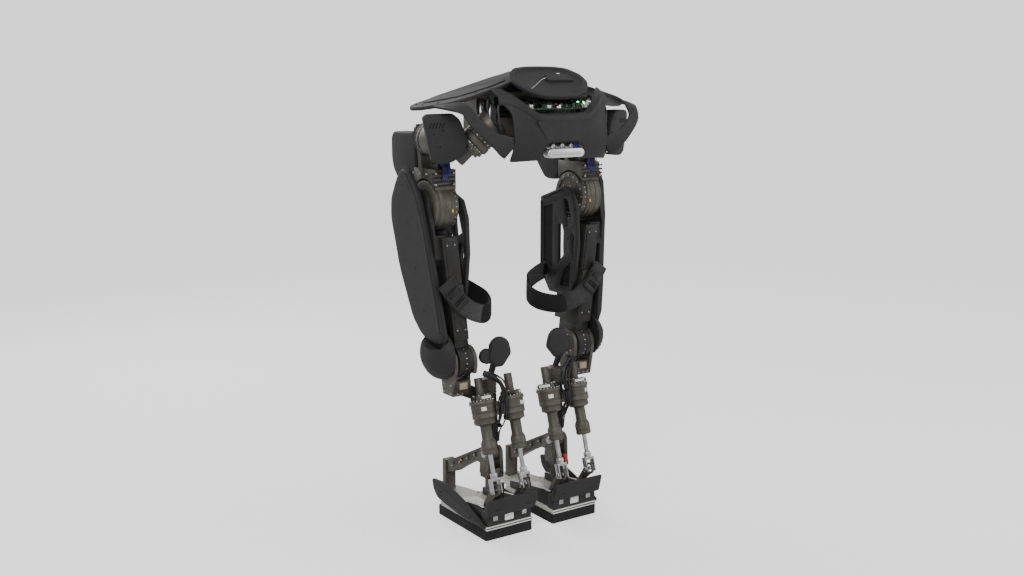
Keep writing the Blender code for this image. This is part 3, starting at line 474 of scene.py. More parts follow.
def show(name, form, look, body, slot=None, bevel=0.0, segments=2, cuts=(), stands_for=(), uv=None):
    """Makes a form a piece that rides on a body."""
    data = form.mesh(name)
    data.materials.append(look)
    thing = bpy.data.objects.new(name, data)
    bpy.context.scene.collection.objects.link(thing)
    cut(thing, cuts)
    if bevel:
        soften(thing, bevel, segments)
        settled(thing)
    thing.data.name = name
    thing.data.shade_smooth()
    thing.data.set_sharp_from_angle(angle=math.radians(38))
    if uv:
        uv(thing.data)
    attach(thing, body)
    if slot:
        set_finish(thing, slot)
    if stands_for:
        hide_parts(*stands_for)
    return thing


def other_side(thing, stands_for=()):
    """The right leg's twin of a left piece."""
    data = thing.data.copy()
    data.transform(Matrix.Scale(-1, 4, X))
    data.flip_normals()
    name = thing.name.replace("left_", "right_")
    twin = bpy.data.objects.new(name, data)
    data.name = name
    bpy.context.scene.collection.objects.link(twin)
    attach(twin, thing["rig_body"].replace("left_", "right_"))
    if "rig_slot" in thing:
        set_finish(twin, thing["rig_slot"])
    if stands_for:
        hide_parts(*(node.replace("left_", "right_") for node in stands_for))
    return twin


def pair(name, form, look, body, slot=None, bevel=0.0, segments=2, cuts=(), stands_for=(), uv=None):
    """A left piece and its right twin. Names and bodies are given without their side."""
    nodes = tuple("left_" + node for node in stands_for)
    body = body if body == "pelvis" else "left_" + body
    one = show("left_" + name, form, look, body, slot, bevel, segments, cuts, nodes, uv)
    return one, other_side(one, nodes)


def refined(node, look=None, bevel=0.0012, segments=2, cuts=(), name=None):
    """A CAD node with its edges eased, in its slot's look."""
    slot = SLOT_OF[node]
    form = own_copy(node)
    if node.startswith("left_"):
        plain = node[5:]
        return pair(name or plain + "_body", form, look or SLOT_LOOK[slot], BODY_OF[node][5:], slot, bevel,
                    segments, cuts, (plain,))
    return show(name or node + "_body", form, look or SLOT_LOOK[slot], BODY_OF[node], slot, bevel, segments,
                cuts, (node,))


def joint_at(name):
    return Vector(JOINTS[name]["pos_m"])


# ---------------------------------------------------------------- pelvis

def shell_rows():
    """The rear shell's section at a few stations across, from its bottom edge up to its inner lip."""
    stations = [
        (0.000, [(0.2045, 1.0655), (0.2195, 1.088), (0.2262, 1.115), (0.2255, 1.150), (0.2232, 1.182),
                 (0.2062, 1.1865)]),
        (0.078, [(0.2025, 1.0655), (0.2180, 1.088), (0.2248, 1.115), (0.2240, 1.150), (0.2212, 1.184),
                 (0.2042, 1.1885)]),
        (0.120, [(0.1975, 1.0645), (0.2125, 1.088), (0.2205, 1.116), (0.2165, 1.160), (0.2062, 1.211),
                 (0.1862, 1.2215)]),
        (0.150, [(0.1895, 1.0635), (0.2040, 1.090), (0.2125, 1.120), (0.2040, 1.172), (0.1842, 1.227),
                 (0.1562, 1.2455)]),
        (0.1775, [(0.1775, 1.0675), (0.1900, 1.092), (0.1975, 1.124), (0.1880, 1.176), (0.1682, 1.231),
                  (0.1296, 1.2525)]),
    ]
    steps = 5
    columns = []
    widths = [s[0] for s in stations]
    widths_on = [widths[i] + (widths[i + 1] - widths[i]) * k / steps
                 for i in range(len(widths) - 1) for k in range(steps)] + [widths[-1]]
    rows = [curve_through([(x, *section[j]) for x, section in stations], steps) for j in range(6)]
    for i, x in enumerate(widths_on):
        columns.append([Vector((x, row[i].y, row[i].z)) for row in rows])
    return columns


def shell_lip(column):
    """The thick chamfered border along the opening, as a ring round its section."""
    inner, edge, below = column[5], column[4], column[3]
    down = (below - edge).normalized()
    out = down.cross(X).normalized()
    out = out if out.y > 0 else -out
    return [inner + out * 0.0012, edge + out * 0.0042, edge + down * 0.019 + out * 0.0042,
            edge + down * 0.0225 + out * 0.0010, edge + down * 0.0225 - out * 0.0010, edge - out * 0.0010]


def rear_shell():
    half = shell_rows()
    columns = [[Vector((-p.x, p.y, p.z)) for p in column] for column in half[:0:-1]] + half
    bm = bmesh.new()
    grid = [[bm.verts.new(p) for p in column] for column in columns]
    for one, two in zip(grid, grid[1:]):
        for k in range(len(one) - 1):
            bm.faces.new((one[k], two[k], two[k + 1], one[k + 1]))
    data = bpy.data.meshes.new("skin")
    bm.to_mesh(data)
    bm.free()
    skin = bpy.data.objects.new("skin", data)
    bpy.context.scene.collection.objects.link(skin)
    wall = skin.modifiers.new("Wall", "SOLIDIFY")
    wall.thickness = 0.0045
    wall.offset = 0
    settled(skin)
    form = Form()
    form.bm.from_mesh(skin.data)
    bmesh.ops.recalc_face_normals(form.bm, faces=form.bm.faces)
    bpy.data.objects.remove(skin)
    camera_gap = rounded([(-0.066, 1.03), (-0.066, 1.094), (-0.048, 1.113), (0.048, 1.113), (0.066, 1.094),
                          (0.066, 1.03)], 0.012)
    gaps = [Form().plate(camera_gap, "y", [(0.15, 1), (0.26, 1)])]
    for s in (-1, 1):
        side = [(s * x, z) for x, z in ((0.153, 1.03), (0.153, 1.190), (0.170, 1.214), (0.26, 1.214),
                                        (0.26, 1.03))]
        gaps.append(Form().plate(rounded(side, 0.010), "y", [(0.10, 1), (0.26, 1)]))
    show("rear_shell_body", form, SHELL, "pelvis", "shell_plastic", 0.0016, 3, gaps, ("rear_shell",))
    lip = Form()
    lip.rings([shell_lip(column) for column in columns])
    show("rear_shell_lip", lip, SHELL, "pelvis", "shell_plastic", 0.0012)
    centre = rounded([(-0.094, 1.168), (-0.060, 1.1185), (0.060, 1.1185), (0.094, 1.168)], 0.006)
    panel = Form().plate(centre, "y", [(0.222, 1.0), (0.2278, 1.0), (0.2288, 0.985)])
    show("rear_shell_panel", panel, SHELL, "pelvis", "shell_plastic")
    fixings = Form()
    for x, z in ((0.030, 1.0995), (0.0, 1.1005), (-0.030, 1.0995)):
        fixings.turned([(0.0070, 0.190), (0.0070, 0.2090), (0.0062, 0.2112), (0.0040, 0.2118),
                        (0.0030, 0.2095)],
                       (x, 0, z), Y, 24)
    show("camera_mount_bolts", fixings, STEEL, "pelvis", "bright_steel")
    socket = Form().slab((-0.060, 0.196, 1.0965), (-0.044, 0.207, 1.1065))
    show("camera_socket", socket, BLUE, "pelvis", "circuit_board", 0.001)


WING_RIDGE_Z = 1.2986
WING_SLOPE = 0.277


def wing_height(x):
    return WING_RIDGE_Z - WING_SLOPE * abs(x)


def wing_slope(sign=1):
    slope = Matrix.Identity(4)
    slope[2][0] = -WING_SLOPE * sign
    slope[2][3] = WING_RIDGE_Z
    return slope


def strip(route, across, width, thickness, crown=0.0, steps=6):
    """A strip along a route: closed rings whose width runs along across."""
    rings = []
    for i, point in enumerate(route):
        way = route[min(i + 1, len(route) - 1)] - route[max(i - 1, 0)]
        side = (across[i] - way.normalized() * across[i].dot(way.normalized())).normalized()
        out = way.cross(side).normalized()
        size = width[i] if isinstance(width, list) else width
        top, bottom = [], []
        for k in range(steps + 1):
            u = -1 + 2 * k / steps
            rise = crown * (1 - u * u)
            top.append(point + side * u * size / 2 + out * (thickness / 2 + rise))
            bottom.append(point + side * u * size / 2 - out * (thickness / 2 - rise))
        rings.append(top + bottom[::-1])
    return rings


def wings():
    top = rounded([(0.0006, -0.036), (0.300, -0.036), (0.330, -0.028), (0.343, 0.0), (0.335, 0.045),
                   (0.292, 0.110), (0.250, 0.128), (0.135, 0.128), (0.100, 0.118), (0.048, 0.090),
                   (0.044, 0.074), (0.0006, 0.074)],
                  0.014)
    form = Form().plate(top, "z", [(-0.0108, 0.985), (-0.0090, 0.997), (-0.0035, 1.0), (-0.0006, 0.994)],
                        wing_slope())
    upper = curve_through([(0.262, 0.060, 1.2205), (0.266, 0.118, 1.2170), (0.2577, 0.160, 1.2050),
                           (0.245, 0.192, 1.1692), (0.1985, 0.205, 1.1277), (0.1594, 0.205, 1.1180),
                           (0.140, 0.203, 1.0980)])
    lower = curve_through([(0.316, 0.070, 1.2060), (0.314, 0.128, 1.2010), (0.2895, 0.172, 1.1900),
                           (0.277, 0.190, 1.1648), (0.2348, 0.204, 1.125), (0.2086, 0.206, 1.0974),
                           (0.186, 0.200, 1.0833)])
    middles = [(one + two) / 2 for one, two in zip(upper, lower)]
    spans = [one - two for one, two in zip(upper, lower)]
    form.rings(strip(middles, [span.normalized() for span in spans], [span.length for span in spans],
                     0.0070, 0.0014))
    pieces = []
    left = show("wing_left_body", form, SHELL, "pelvis", "shell_plastic", 0.0014, 3, (), ("wing_left",))
    raised = rounded([(0.048, -0.026), (0.250, -0.026), (0.306, -0.012), (0.296, 0.030), (0.240, 0.088),
                      (0.150, 0.096), (0.092, 0.082)], 0.016)
    pieces.append(show("wing_left_panel", Form().plate(raised, "z",
                                                       [(-0.002, 1), (0.0012, 1), (0.0026, 0.982)],
                       wing_slope()), SHELL, "pelvis", "shell_plastic"))
    screws = Form()
    for x, y in ((0.318, -0.012), (0.300, 0.070), (0.210, 0.112), (0.322, 0.030)):
        screws.bolt((x, y, wing_height(x) - 0.0006), (WING_SLOPE, 0, 1), 0.0030, 0.0016)
    pieces.append(show("wing_left_screws", screws, BLACK_OXIDE, "pelvis", "dark_metal"))
    for piece in [left, *pieces]:
        data = piece.data.copy()
        data.transform(Matrix.Scale(-1, 4, X))
        data.flip_normals()
        twin = bpy.data.objects.new(piece.name.replace("left", "right"), data)
        bpy.context.scene.collection.objects.link(twin)
        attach(twin, "pelvis")
        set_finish(twin, piece["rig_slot"])
        if piece is left:
            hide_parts("wing_right")


def hatch_place():
    """The hatch's own directions: across it, up its slope, and out of it."""
    across = -X
    up = Vector((0, 0.100 - 0.216, 1.312 - 1.231)).normalized()
    normal = across.cross(up)
    turn = Matrix((across, up, normal)).transposed().to_4x4()
    return Matrix.Translation((0, 0.158, 1.271)) @ turn


def hatch():
    half = [(0.000, -0.070), (0.055, -0.068), (0.098, -0.044), (0.124, -0.004), (0.120, 0.032),
            (0.088, 0.062), (0.045, 0.069), (0.000, 0.070)]
    outline = rounded(half + [(-x, y) for x, y in half[-2:0:-1]], 0.030, 5)
    place = hatch_place()
    lid = Form().plate(outline, "z", [(-0.0138, 0.90), (-0.0120, 0.965), (-0.0060, 0.997), (-0.0010, 0.992),
                                      (-0.0002, 0.970), (-0.0002, 0.860), (-0.0030, 0.846),
                                      (-0.0042, 0.830)], place)
    show("top_hatch_body", lid, SHELL, "hatch", "shell_plastic", 0.0, 2, (), ("top_hatch",))
    block = [(-0.008, 0.002), (0.078, 0.002), (0.070, 0.030), (-0.002, 0.030)]
    form = Form().plate(rounded(block, 0.003), "z", [(-0.006, 1), (0.0010, 1), (0.0020, 0.97)], place)
    show("hatch_block", form, SHELL, "hatch", "shell_plastic")
    wire = curve_through([place @ Vector(p) for p in ((-0.006, 0.016, -0.0010), (-0.028, 0.006, -0.0018),
                                                      (-0.058, -0.016, -0.0026),
                                                      (-0.080, -0.030, -0.0030))], 8)
    show("hatch_wire", Form().tube(wire, 0.0012, 8), STEEL, "hatch", "bright_steel")
    label = Form().slab((0.044, 0.036, -0.0044), (0.054, 0.041, -0.0036), place)
    show("hatch_label", label, LABEL, "hatch", "camera_body")


def pelvis_inside():
    refined("pelvis_frame", bevel=0.0014)
    refined("battery_pack", bevel=0.003, segments=3)
    refined("electronics_tray", bevel=0.0006)
    low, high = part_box("electronics_tray")
    shelf = 1.2002
    draw = random.Random(7)
    kinds = {"chips": (BLACK_OXIDE, "dark_metal"), "sockets": (LABEL, "cream_plate"),
             "cans": (STEEL, "bright_steel"), "reds": (RED, "circuit_board"),
             "lights": (GREEN_LIGHT, "circuit_board"), "pale_lights": (PALE_LIGHT, "circuit_board"),
             "boards": (BOARD, "circuit_board")}
    forms = {kind: Form() for kind in kinds}
    for k in range(96):
        x = draw.uniform(low.x + 0.008, high.x - 0.008)
        y = draw.uniform(0.126, high.y - 0.006)
        kind = draw.choices(("chips", "sockets", "cans", "reds", "boards"), (9, 5, 3, 1, 4))[0]
        w, d, h = draw.uniform(0.002, 0.007), draw.uniform(0.002, 0.005), draw.uniform(0.002, 0.013)
        forms[kind].slab((x - w, y - d, shelf - 0.001), (x + w, y + d, shelf + h))
    for x, y in ((-0.098, 0.176), (-0.090, 0.160), (0.112, 0.150)):
        forms["lights"].slab((x - 0.0022, y - 0.0022, shelf), (x + 0.0022, y + 0.0022, shelf + 0.016))
    for x, y in ((0.030, 0.184), (-0.010, 0.186)):
        forms["pale_lights"].slab((x - 0.0018, y - 0.0018, shelf), (x + 0.0018, y + 0.0018, shelf + 0.008))
    for kind, form in forms.items():
        show("tray_" + kind, form, kinds[kind][0], "pelvis", kinds[kind][1], 0.0004, 1)
    wires = Form()
    for k in range(26):
        x = -0.112 + 0.0088 * k
        reach = draw.uniform(0.012, 0.030)
        route = curve_through([(x, 0.146, shelf), (x + draw.uniform(-0.006, 0.006), 0.158, shelf + reach),
                               (x + draw.uniform(-0.02, 0.02), 0.176, shelf + reach * 0.9),
                               (x + draw.uniform(-0.02, 0.02), 0.186, shelf + 0.001)], 5)
        wires.tube(route, 0.0011, 6)
    show("tray_wires", wires, CABLE, "pelvis", "rubber")


def hoses():
    """Cables and hoses that show in each side opening, between the shell, the wing and the frame."""
    draw = random.Random(11)
    forms = {"black_hoses": (Form(), CABLE, "rubber"), "silver_hoses": (Form(), STEEL, "bright_steel"),
             "side_plugs": (Form(), LABEL, "cream_plate")}
    for k in range(11):
        y = 0.060 + 0.010 * k
        z = 1.232 - 0.008 * (k % 5)
        bend = draw.uniform(-0.012, 0.012)
        form = forms["silver_hoses" if k in (2, 6) else "black_hoses"][0]
        route = curve_through([(0.150, y * 0.7 + 0.02, z - 0.03), (0.168 + bend * 0.4, y, z - 0.006 + bend),
                               (0.178, y + 0.010, z - 0.036), (0.166 - bend * 0.5, y + 0.016, 1.150 + bend),
                               (0.150, y * 0.6 + 0.066, 1.128)], 6)
        form.tube(route, 0.0034 if k % 3 else 0.0024, 8)
    for k in range(4):
        y, z = 0.100 + 0.018 * k, 1.142 + 0.010 * (k % 2)
        forms["side_plugs"][0].slab((0.1535, y - 0.004, z - 0.003), (0.1600, y + 0.004, z + 0.003))
    for name, (form, look, slot) in forms.items():
        pair(name, form, look, "pelvis", slot)


def depth_camera():
    outline = arc(0.0485, 1.083, 0.0118, 12, -math.pi / 2, math.pi) + arc(-0.0485, 1.083, 0.0118, 12,
                                                                          math.pi / 2, math.pi)
    body = Form().plate(outline, "y", [(0.2074, 0.985), (0.2086, 1), (0.2290, 1), (0.2312, 0.985),
                                       (0.2322, 0.955)])
    body.slab((-0.027, 0.1410, 1.0866), (0.027, 0.2085, 1.0940))
    body.slab((-0.027, 0.1410, 1.0866), (0.027, 0.1460, 1.1495))
    slots = [Form().slab((x - 0.0011, 0.226, 1.0752), (x + 0.0011, 0.240, 1.0800))
             for x in (-0.044 + 0.0055 * k for k in range(17))]
    show("depth_camera_body", body, SILVER, "pelvis", "camera_body", 0.0006, 2, slots, ("depth_camera",))
    trim = Form().plate(scaled(outline, 1.0), "y", [(0.2150, 1.004), (0.2162, 1.004)])
    show("depth_camera_seam", trim, BLACK_OXIDE, "pelvis", "dark_metal")


# ---------------------------------------------------------------- hip

YAW_AT = joint_at("left_hip_yaw")
YAW_WAY = Vector(JOINTS["left_hip_yaw"]["axis"])
ROLL_AT = joint_at("left_hip_roll")
PITCH_AT = joint_at("left_hip_pitch")
KNEE_AT = joint_at("left_knee")
ANKLE_AT = joint_at("left_ankle_pitch")


def hip_yaw():
    r, l = 0.0429, 0.0848
    form = Form().turned([(0.012, l), (r - 0.006, l), (r - 0.0015, l - 0.0015), (r, l - 0.005), (r, 0.062),
                          (r - 0.0012, 0.061), (r - 0.0012, 0.059), (r, 0.058), (r, 0.0305),
                          (r - 0.0022, 0.029), (r - 0.0022, 0.0195), (r, 0.0180), (r, 0.004),
                          (r - 0.002, 0.0012), (r - 0.006, 0.0004), (0.0, 0.0004)], YAW_AT, YAW_WAY, 72)
    pair("hip_yaw_motor_body", form, ALLOY, "pelvis", "anodised_alloy", stands_for=("hip_yaw_motor",))
    bolts = Form()
    turn = facing(YAW_AT, YAW_WAY)
    for k in range(18):
        a = TURN * k / 18
        out = (turn.to_3x3() @ Vector((math.cos(a), math.sin(a), 0)))
        bolts.bolt(YAW_AT + YAW_WAY * 0.0243 + out * (r - 0.0024), out, 0.0024, 0.0016)
    pair("hip_yaw_bolts", bolts, STEEL, "pelvis", "bright_steel")


def hip_roll():
    r = 0.0449
    form = own_copy("left_hip_roll_motor")
    pair("hip_roll_motor_body", form, ALLOY, "hip_arm", "anodised_alloy", 0.0012, 2,
         stands_for=("hip_roll_motor",))
    bands = Form()
    for y in (-0.046, -0.030, 0.030, 0.046):
        bands.turned([(r - 0.002, -0.003), (r + 0.0006, -0.003), (r + 0.0006, 0.003), (r - 0.002, 0.003)],
                     (ROLL_AT.x, y, ROLL_AT.z), Y, 64)
    pair("hip_roll_bands", bands, DARK, "hip_arm", "dark_metal")
    bolts = Form()
    bolts.bolt_ring((ROLL_AT.x, 0.0555, ROLL_AT.z), Y, 0.036, 10, 0.0026, 0.003)
    bolts.bolt_ring(YAW_AT - YAW_WAY * 0.0105, -YAW_WAY, 0.0345, 12, 0.0022, 0.0026)
    pair("hip_roll_bolts", bolts, STEEL, "hip_arm", "bright_steel")
    plate = Form().turned([(0.010, 0), (0.0372, 0), (0.0378, 0.0008), (0.0378, 0.0028), (0.0372, 0.0036),
                           (0.010, 0.0036)], YAW_AT - YAW_WAY * 0.0050, YAW_WAY, 64)
    pair("hip_yaw_output_plate", plate, STEEL, "hip_arm", "bright_steel")


def cover_place():
    toward = Vector((0.42, 0.906, 0)).normalized()
    across = Vector((toward.y, -toward.x, 0))
    turn = Matrix((-across, Z, toward)).transposed().to_4x4()
    return Matrix.Translation((0.2835, 0.090, 1.120)) @ turn


def hip_cover():
    place = cover_place()
    outline = rounded([(-0.066, 0.058), (-0.056, 0.067), (0.014, 0.069), (0.034, 0.052), (0.058, -0.012),
                       (0.052, -0.036), (0.006, -0.062), (-0.026, -0.064), (-0.044, -0.054)], 0.018, 5)
    shell = Form().plate(outline, "z", [(-0.0296, 0.985), (-0.006, 1.0), (0.0005, 0.990), (0.0040, 0.965),
                                        (0.0056, 0.915), (0.0058, 0.60)], place)
    room = Form().plate(outline, "z", [(-0.060, 0.93), (0.0012, 0.93)], place)
    motor = Form().turned([(0.047, -0.021), (0.047, 0.10)], YAW_AT, YAW_WAY, 48)
    arm_turn = facing(YAW_AT, -YAW_WAY)
    arm = Form().slab((-0.022, -0.020, 0.0), (0.022, 0.020, 0.070), arm_turn)
    cuts = [room, motor, arm]
    for k in range(5):
        u = -0.050 + 0.0085 * k
        cuts.append(Form().plate(rounded([(u, 0.030), (u + 0.0032, 0.030), (u + 0.0092, 0.044),
                                          (u + 0.0060, 0.044)],
                                         0.001, 2), "z", [(-0.01, 1), (0.02, 1)], place))
    for u, v in ((-0.012, 0.024), (-0.036, 0.014), (-0.020, -0.018)):
        cuts.append(Form().turned([(0.0021, -0.01), (0.0021, 0.02)], place @ Vector((u, v, 0)),
                                  place.to_3x3() @ Z, 16))
    pair("hip_cover_body", shell, SHELL, "hip_arm", "shell_plastic", 0.0, 2, cuts, ("hip_cover",))
    lining = Form().plate(scaled(outline, 0.90), "z", [(-0.0020, 1), (0.0006, 1)], place)
    pair("hip_cover_lining", lining, BLACK_OXIDE, "hip_arm", "dark_metal",
         cuts=[Form().turned([(0.047, -0.021), (0.047, 0.10)], YAW_AT, YAW_WAY, 48)])


def hip_yoke():
    refined("left_hip_yoke", bevel=0.0022, segments=3)
    low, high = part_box("left_hip_yoke")
    detail = Form()
    for z in (0.990, 1.001, 1.012, 1.023):
        detail.slab((low.x + 0.004, high.y - 0.001, z), (high.x - 0.004, high.y + 0.0035, z + 0.0050))
    pair("hip_yoke_ribs", detail, DARK, "hip", "dark_metal", 0.0008)
    screws = Form()
    for x in (low.x + 0.010, high.x - 0.014):
        for z in (0.996, 1.026):
            screws.bolt((x, high.y + 0.0030, z), Y, 0.0028, 0.003)
    for y in (-0.075, -0.040, -0.005):
        screws.bolt((high.x - 0.0004, y, 1.024), X, 0.0030, 0.0026)
    pair("hip_yoke_screws", screws, STEEL, "hip", "bright_steel")
    drive = Form().slab((0.228, -0.020, 1.036), (0.268, 0.012, 1.052))
    for k in range(5):
        drive.slab((0.230 + 0.0078 * k, -0.018, 1.051), (0.234 + 0.0078 * k, 0.010, 1.0575))
    pair("hip_drive_board", drive, BLACK_OXIDE, "hip", "dark_metal", 0.0006)
    for name, look, shift in (("hip_blue_wires", BLUE, 0.0), ("hip_black_wires", CABLE, 0.004)):
        form = Form()
        for k in range(5):
            x = 0.238 + 0.0052 * k + shift * 0.4
            route = curve_through([(x, 0.008, 1.044), (x + 0.002, 0.020 + shift, 1.052 - shift),
                                   (x - 0.004 + shift, 0.0235 + shift, 1.036), (x, 0.0215, 1.020 - 0.003 * k),
                                   (x, 0.0120, 1.012 - 0.003 * k)], 5)
            form.tube(route, 0.0013, 6)
        pair(name, form, look, "hip", "rubber")


def hip_pitch():
    r, x0, x1 = 0.0728, 0.2113, 0.2837
    l = x1 - x0
    profile = [(0.020, l - 0.0006), (0.040, l - 0.0006), (r - 0.010, l - 0.0006), (r - 0.0045, l - 0.003),
               (r - 0.0032, l - 0.006), (r - 0.0032, l - 0.0125), (r - 0.0012, l - 0.0140), (r, l - 0.016)]
    for k in range(2):
        s = l - 0.026 - 0.018 * k
        profile += [(r, s), (r - 0.0009, s - 0.0006), (r - 0.0009, s - 0.0018), (r, s - 0.0024)]
    profile += [(r, 0.017), (r - 0.0032, 0.0145), (r - 0.0032, 0.005), (r - 0.006, 0.001),
                (r - 0.020, 0.0006), (r - 0.022, 0.0030), (0.030, 0.0030), (0.028, 0.0008), (0.0, 0.0008)]
    form = Form().turned(profile, (x0, PITCH_AT.y, PITCH_AT.z), X, 96)
    pair("hip_pitch_motor_body", form, ALLOY, "hip", "anodised_alloy", stands_for=("hip_pitch_motor",))
    bolts = Form()
    bolts.bolt_ring((x0 + 0.0008, PITCH_AT.y, PITCH_AT.z), -X, 0.0600, 16, 0.0028, 0.0026)
    bolts.bolt_ring((x0 + 0.0034, PITCH_AT.y, PITCH_AT.z), -X, 0.0380, 8, 0.0022, 0.0020)
    for k in range(30):
        a = TURN * k / 30
        out = Vector((0, math.cos(a), math.sin(a)))
        bolts.bolt(Vector((x0 + 0.0098, PITCH_AT.y, PITCH_AT.z)) + out * (r - 0.0034), out, 0.0019, 0.0010,
                   10)
    pair("hip_pitch_bolts", bolts, STEEL, "hip", "bright_steel")
    mark = Form().slab((0.2330, 0.0316, 0.9210), (0.2375, 0.0350, 0.9290))
    pair("hip_pitch_mark", mark, YELLOW, "hip", "cream_plate")


def hip_pod():
    outline = rounded([(-0.2325, 1.115), (-0.222, 1.130), (-0.112, 1.132), (-0.0960, 1.112), (-0.0960, 1.006),
                       (-0.128, 0.974), (-0.176, 0.974), (-0.222, 1.024), (-0.2325, 1.056)], 0.020, 5)
    x0, x1 = 0.2222, 0.2768
    form = Form().plate(outline, "x", [(x0, 0.90), (x0 + 0.0014, 0.955), (x0 + 0.006, 0.993),
                                       (x0 + 0.010, 1.0), (x0 + 0.0245, 1.0), (x0 + 0.0252, 0.990),
                                       (x0 + 0.0275, 0.990), (x0 + 0.0282, 1.0), (x1 - 0.010, 1.0),
                                       (x1 - 0.006, 0.993), (x1 - 0.0014, 0.955), (x1, 0.90)])
    pair("hip_pod_body", form, SHELL, "hip", "shell_plastic", stands_for=("hip_pod",))
    plug = Form().slab((0.236, -0.128, 1.129), (0.262, -0.104, 1.146))
    plug.slab((0.240, -0.124, 1.145), (0.258, -0.108, 1.153))
    pair("hip_pod_plug", plug, BLACK_OXIDE, "hip", "dark_metal", 0.0015)
    for name, look, turn in (("hip_red_lead", RED, 0.0), ("hip_black_lead", CABLE, 0.008)):
        route = curve_through([(0.244 + turn, -0.108, 1.150), (0.246 + turn, -0.092, 1.154),
                               (0.250 + turn, -0.078, 1.144), (0.252 + turn, -0.072, 1.112),
                               (0.250 + turn, -0.070, 1.086), (0.250 + turn, -0.0668, 1.070)], 6)
        pair(name, Form().tube(route, 0.0022, 8), look, "hip", "rubber")
    vents = Form()
    for k in range(6):
        vents.slab((0.232, -0.0962, 1.030 + 0.010 * k), (0.266, -0.0945, 1.034 + 0.010 * k))
    pair("hip_pod_fins", vents, BLACK_OXIDE, "hip", "dark_metal", 0.0005)


# ---------------------------------------------------------------- thigh

LEAN = 0.114
SHELL_X = 0.3015
SHELL_OUTLINE = [
    (-0.085, 1.044), (-0.120, 1.013), (-0.163, 0.956), (-0.177, 0.899), (-0.160, 0.748), (-0.114, 0.603),
    (-0.072, 0.556), (-0.004, 0.542), (0.035, 0.548), (0.046, 0.577), (0.037, 0.670), (0.022, 0.785),
    (0.012, 0.878), (-0.012, 0.977), (-0.052, 1.036),
]


def thigh_lean():
    shear = Matrix.Identity(4)
    shear[0][2] = LEAN
    shear[0][3] = -LEAN * PITCH_AT.z
    return shear


def on_shell(y, z, out=0.0):
    return Vector((SHELL_X + 0.019 + out + LEAN * (z - PITCH_AT.z), y, z))


def thigh_shell():
    outline = rounded(SHELL_OUTLINE, 0.030, 5)
    x = SHELL_X
    form = Form().plate(outline, "x", [(x, 0.975), (x + 0.002, 0.993), (x + 0.0075, 1.0), (x + 0.0095, 0.997),
                                       (x + 0.0100, 0.972), (x + 0.0112, 0.966), (x + 0.0150, 0.960),
                                       (x + 0.0175, 0.945), (x + 0.0186, 0.915), (x + 0.0190, 0.82)],
                                       thigh_lean())
    cuts = [Form().turned([(0.0024, -0.006), (0.0024, 0.004)], on_shell(y, z), X, 16)
            for y, z in ((-0.060, 0.760), (-0.040, 0.640), (-0.082, 0.990))]
    groove = curve_through([on_shell(-0.058, 1.006), on_shell(-0.028, 0.950), on_shell(-0.010, 0.880),
                            on_shell(0.000, 0.785), on_shell(0.012, 0.680), on_shell(0.018, 0.604)], 6)
    cuts.append(Form().tube(groove, 0.0011, 6))
    pair("thigh_shell_body", form, SHELL, "thigh", "shell_plastic", 0.0, 2, cuts, ("thigh_shell",))
    border = [(-0.056, 1.024), (-0.018, 0.972), (0.006, 0.878), (0.016, 0.785), (0.030, 0.672),
              (0.036, 0.590), (0.022, 0.592), (0.015, 0.680), (0.003, 0.785), (-0.007, 0.880),
              (-0.025, 0.950)]
    ridge = Form().plate(border, "x", [(x + 0.0160, 1.0), (x + 0.0200, 1.0), (x + 0.0212, 0.99)],
                         thigh_lean())
    pair("thigh_shell_ridge", ridge, SHELL, "thigh", "shell_plastic")


def thigh_frame():
    refined("left_thigh_frame", DARK, 0.0020, 3)
    panel = Form()
    outline = rounded([(0.2270, 0.842), (0.2620, 0.842), (0.2440, 0.690), (0.2085, 0.690)], 0.008)
    panel.plate(outline, "y", [(0.0320, 1), (0.0352, 1), (0.0362, 0.975)])
    lower = rounded([(0.2090, 0.676), (0.2425, 0.676), (0.2318, 0.585), (0.1975, 0.585)], 0.007)
    panel.plate(lower, "y", [(0.0385, 1), (0.0408, 1), (0.0416, 0.975)])
    pair("thigh_panel", panel, DARK, "thigh", "dark_metal", 0.0, 2)
    screws = Form()
    for x, z in ((0.232, 0.832), (0.256, 0.832), (0.2445, 0.704), (0.2160, 0.704)):
        screws.bolt((x, 0.0355, z), Y, 0.0024, 0.0022)
    for x, z in ((0.214, 0.668), (0.237, 0.668), (0.2285, 0.594), (0.2030, 0.594)):
        screws.bolt((x, 0.0410, z), Y, 0.0024, 0.0022)
    screws.bolt_ring((0.2868, PITCH_AT.y, PITCH_AT.z), -X, 0.0, 1, 0.001, 0.0008)
    pair("thigh_screws", screws, STEEL, "thigh", "bright_steel")
    flange = Form().turned([(0.018, 0), (0.046, 0), (0.0472, 0.0006), (0.0472, 0.0014), (0.018, 0.0016)],
                           (0.2846, PITCH_AT.y, PITCH_AT.z), X, 72)
    pair("thigh_flange", flange, STEEL, "thigh", "bright_steel")


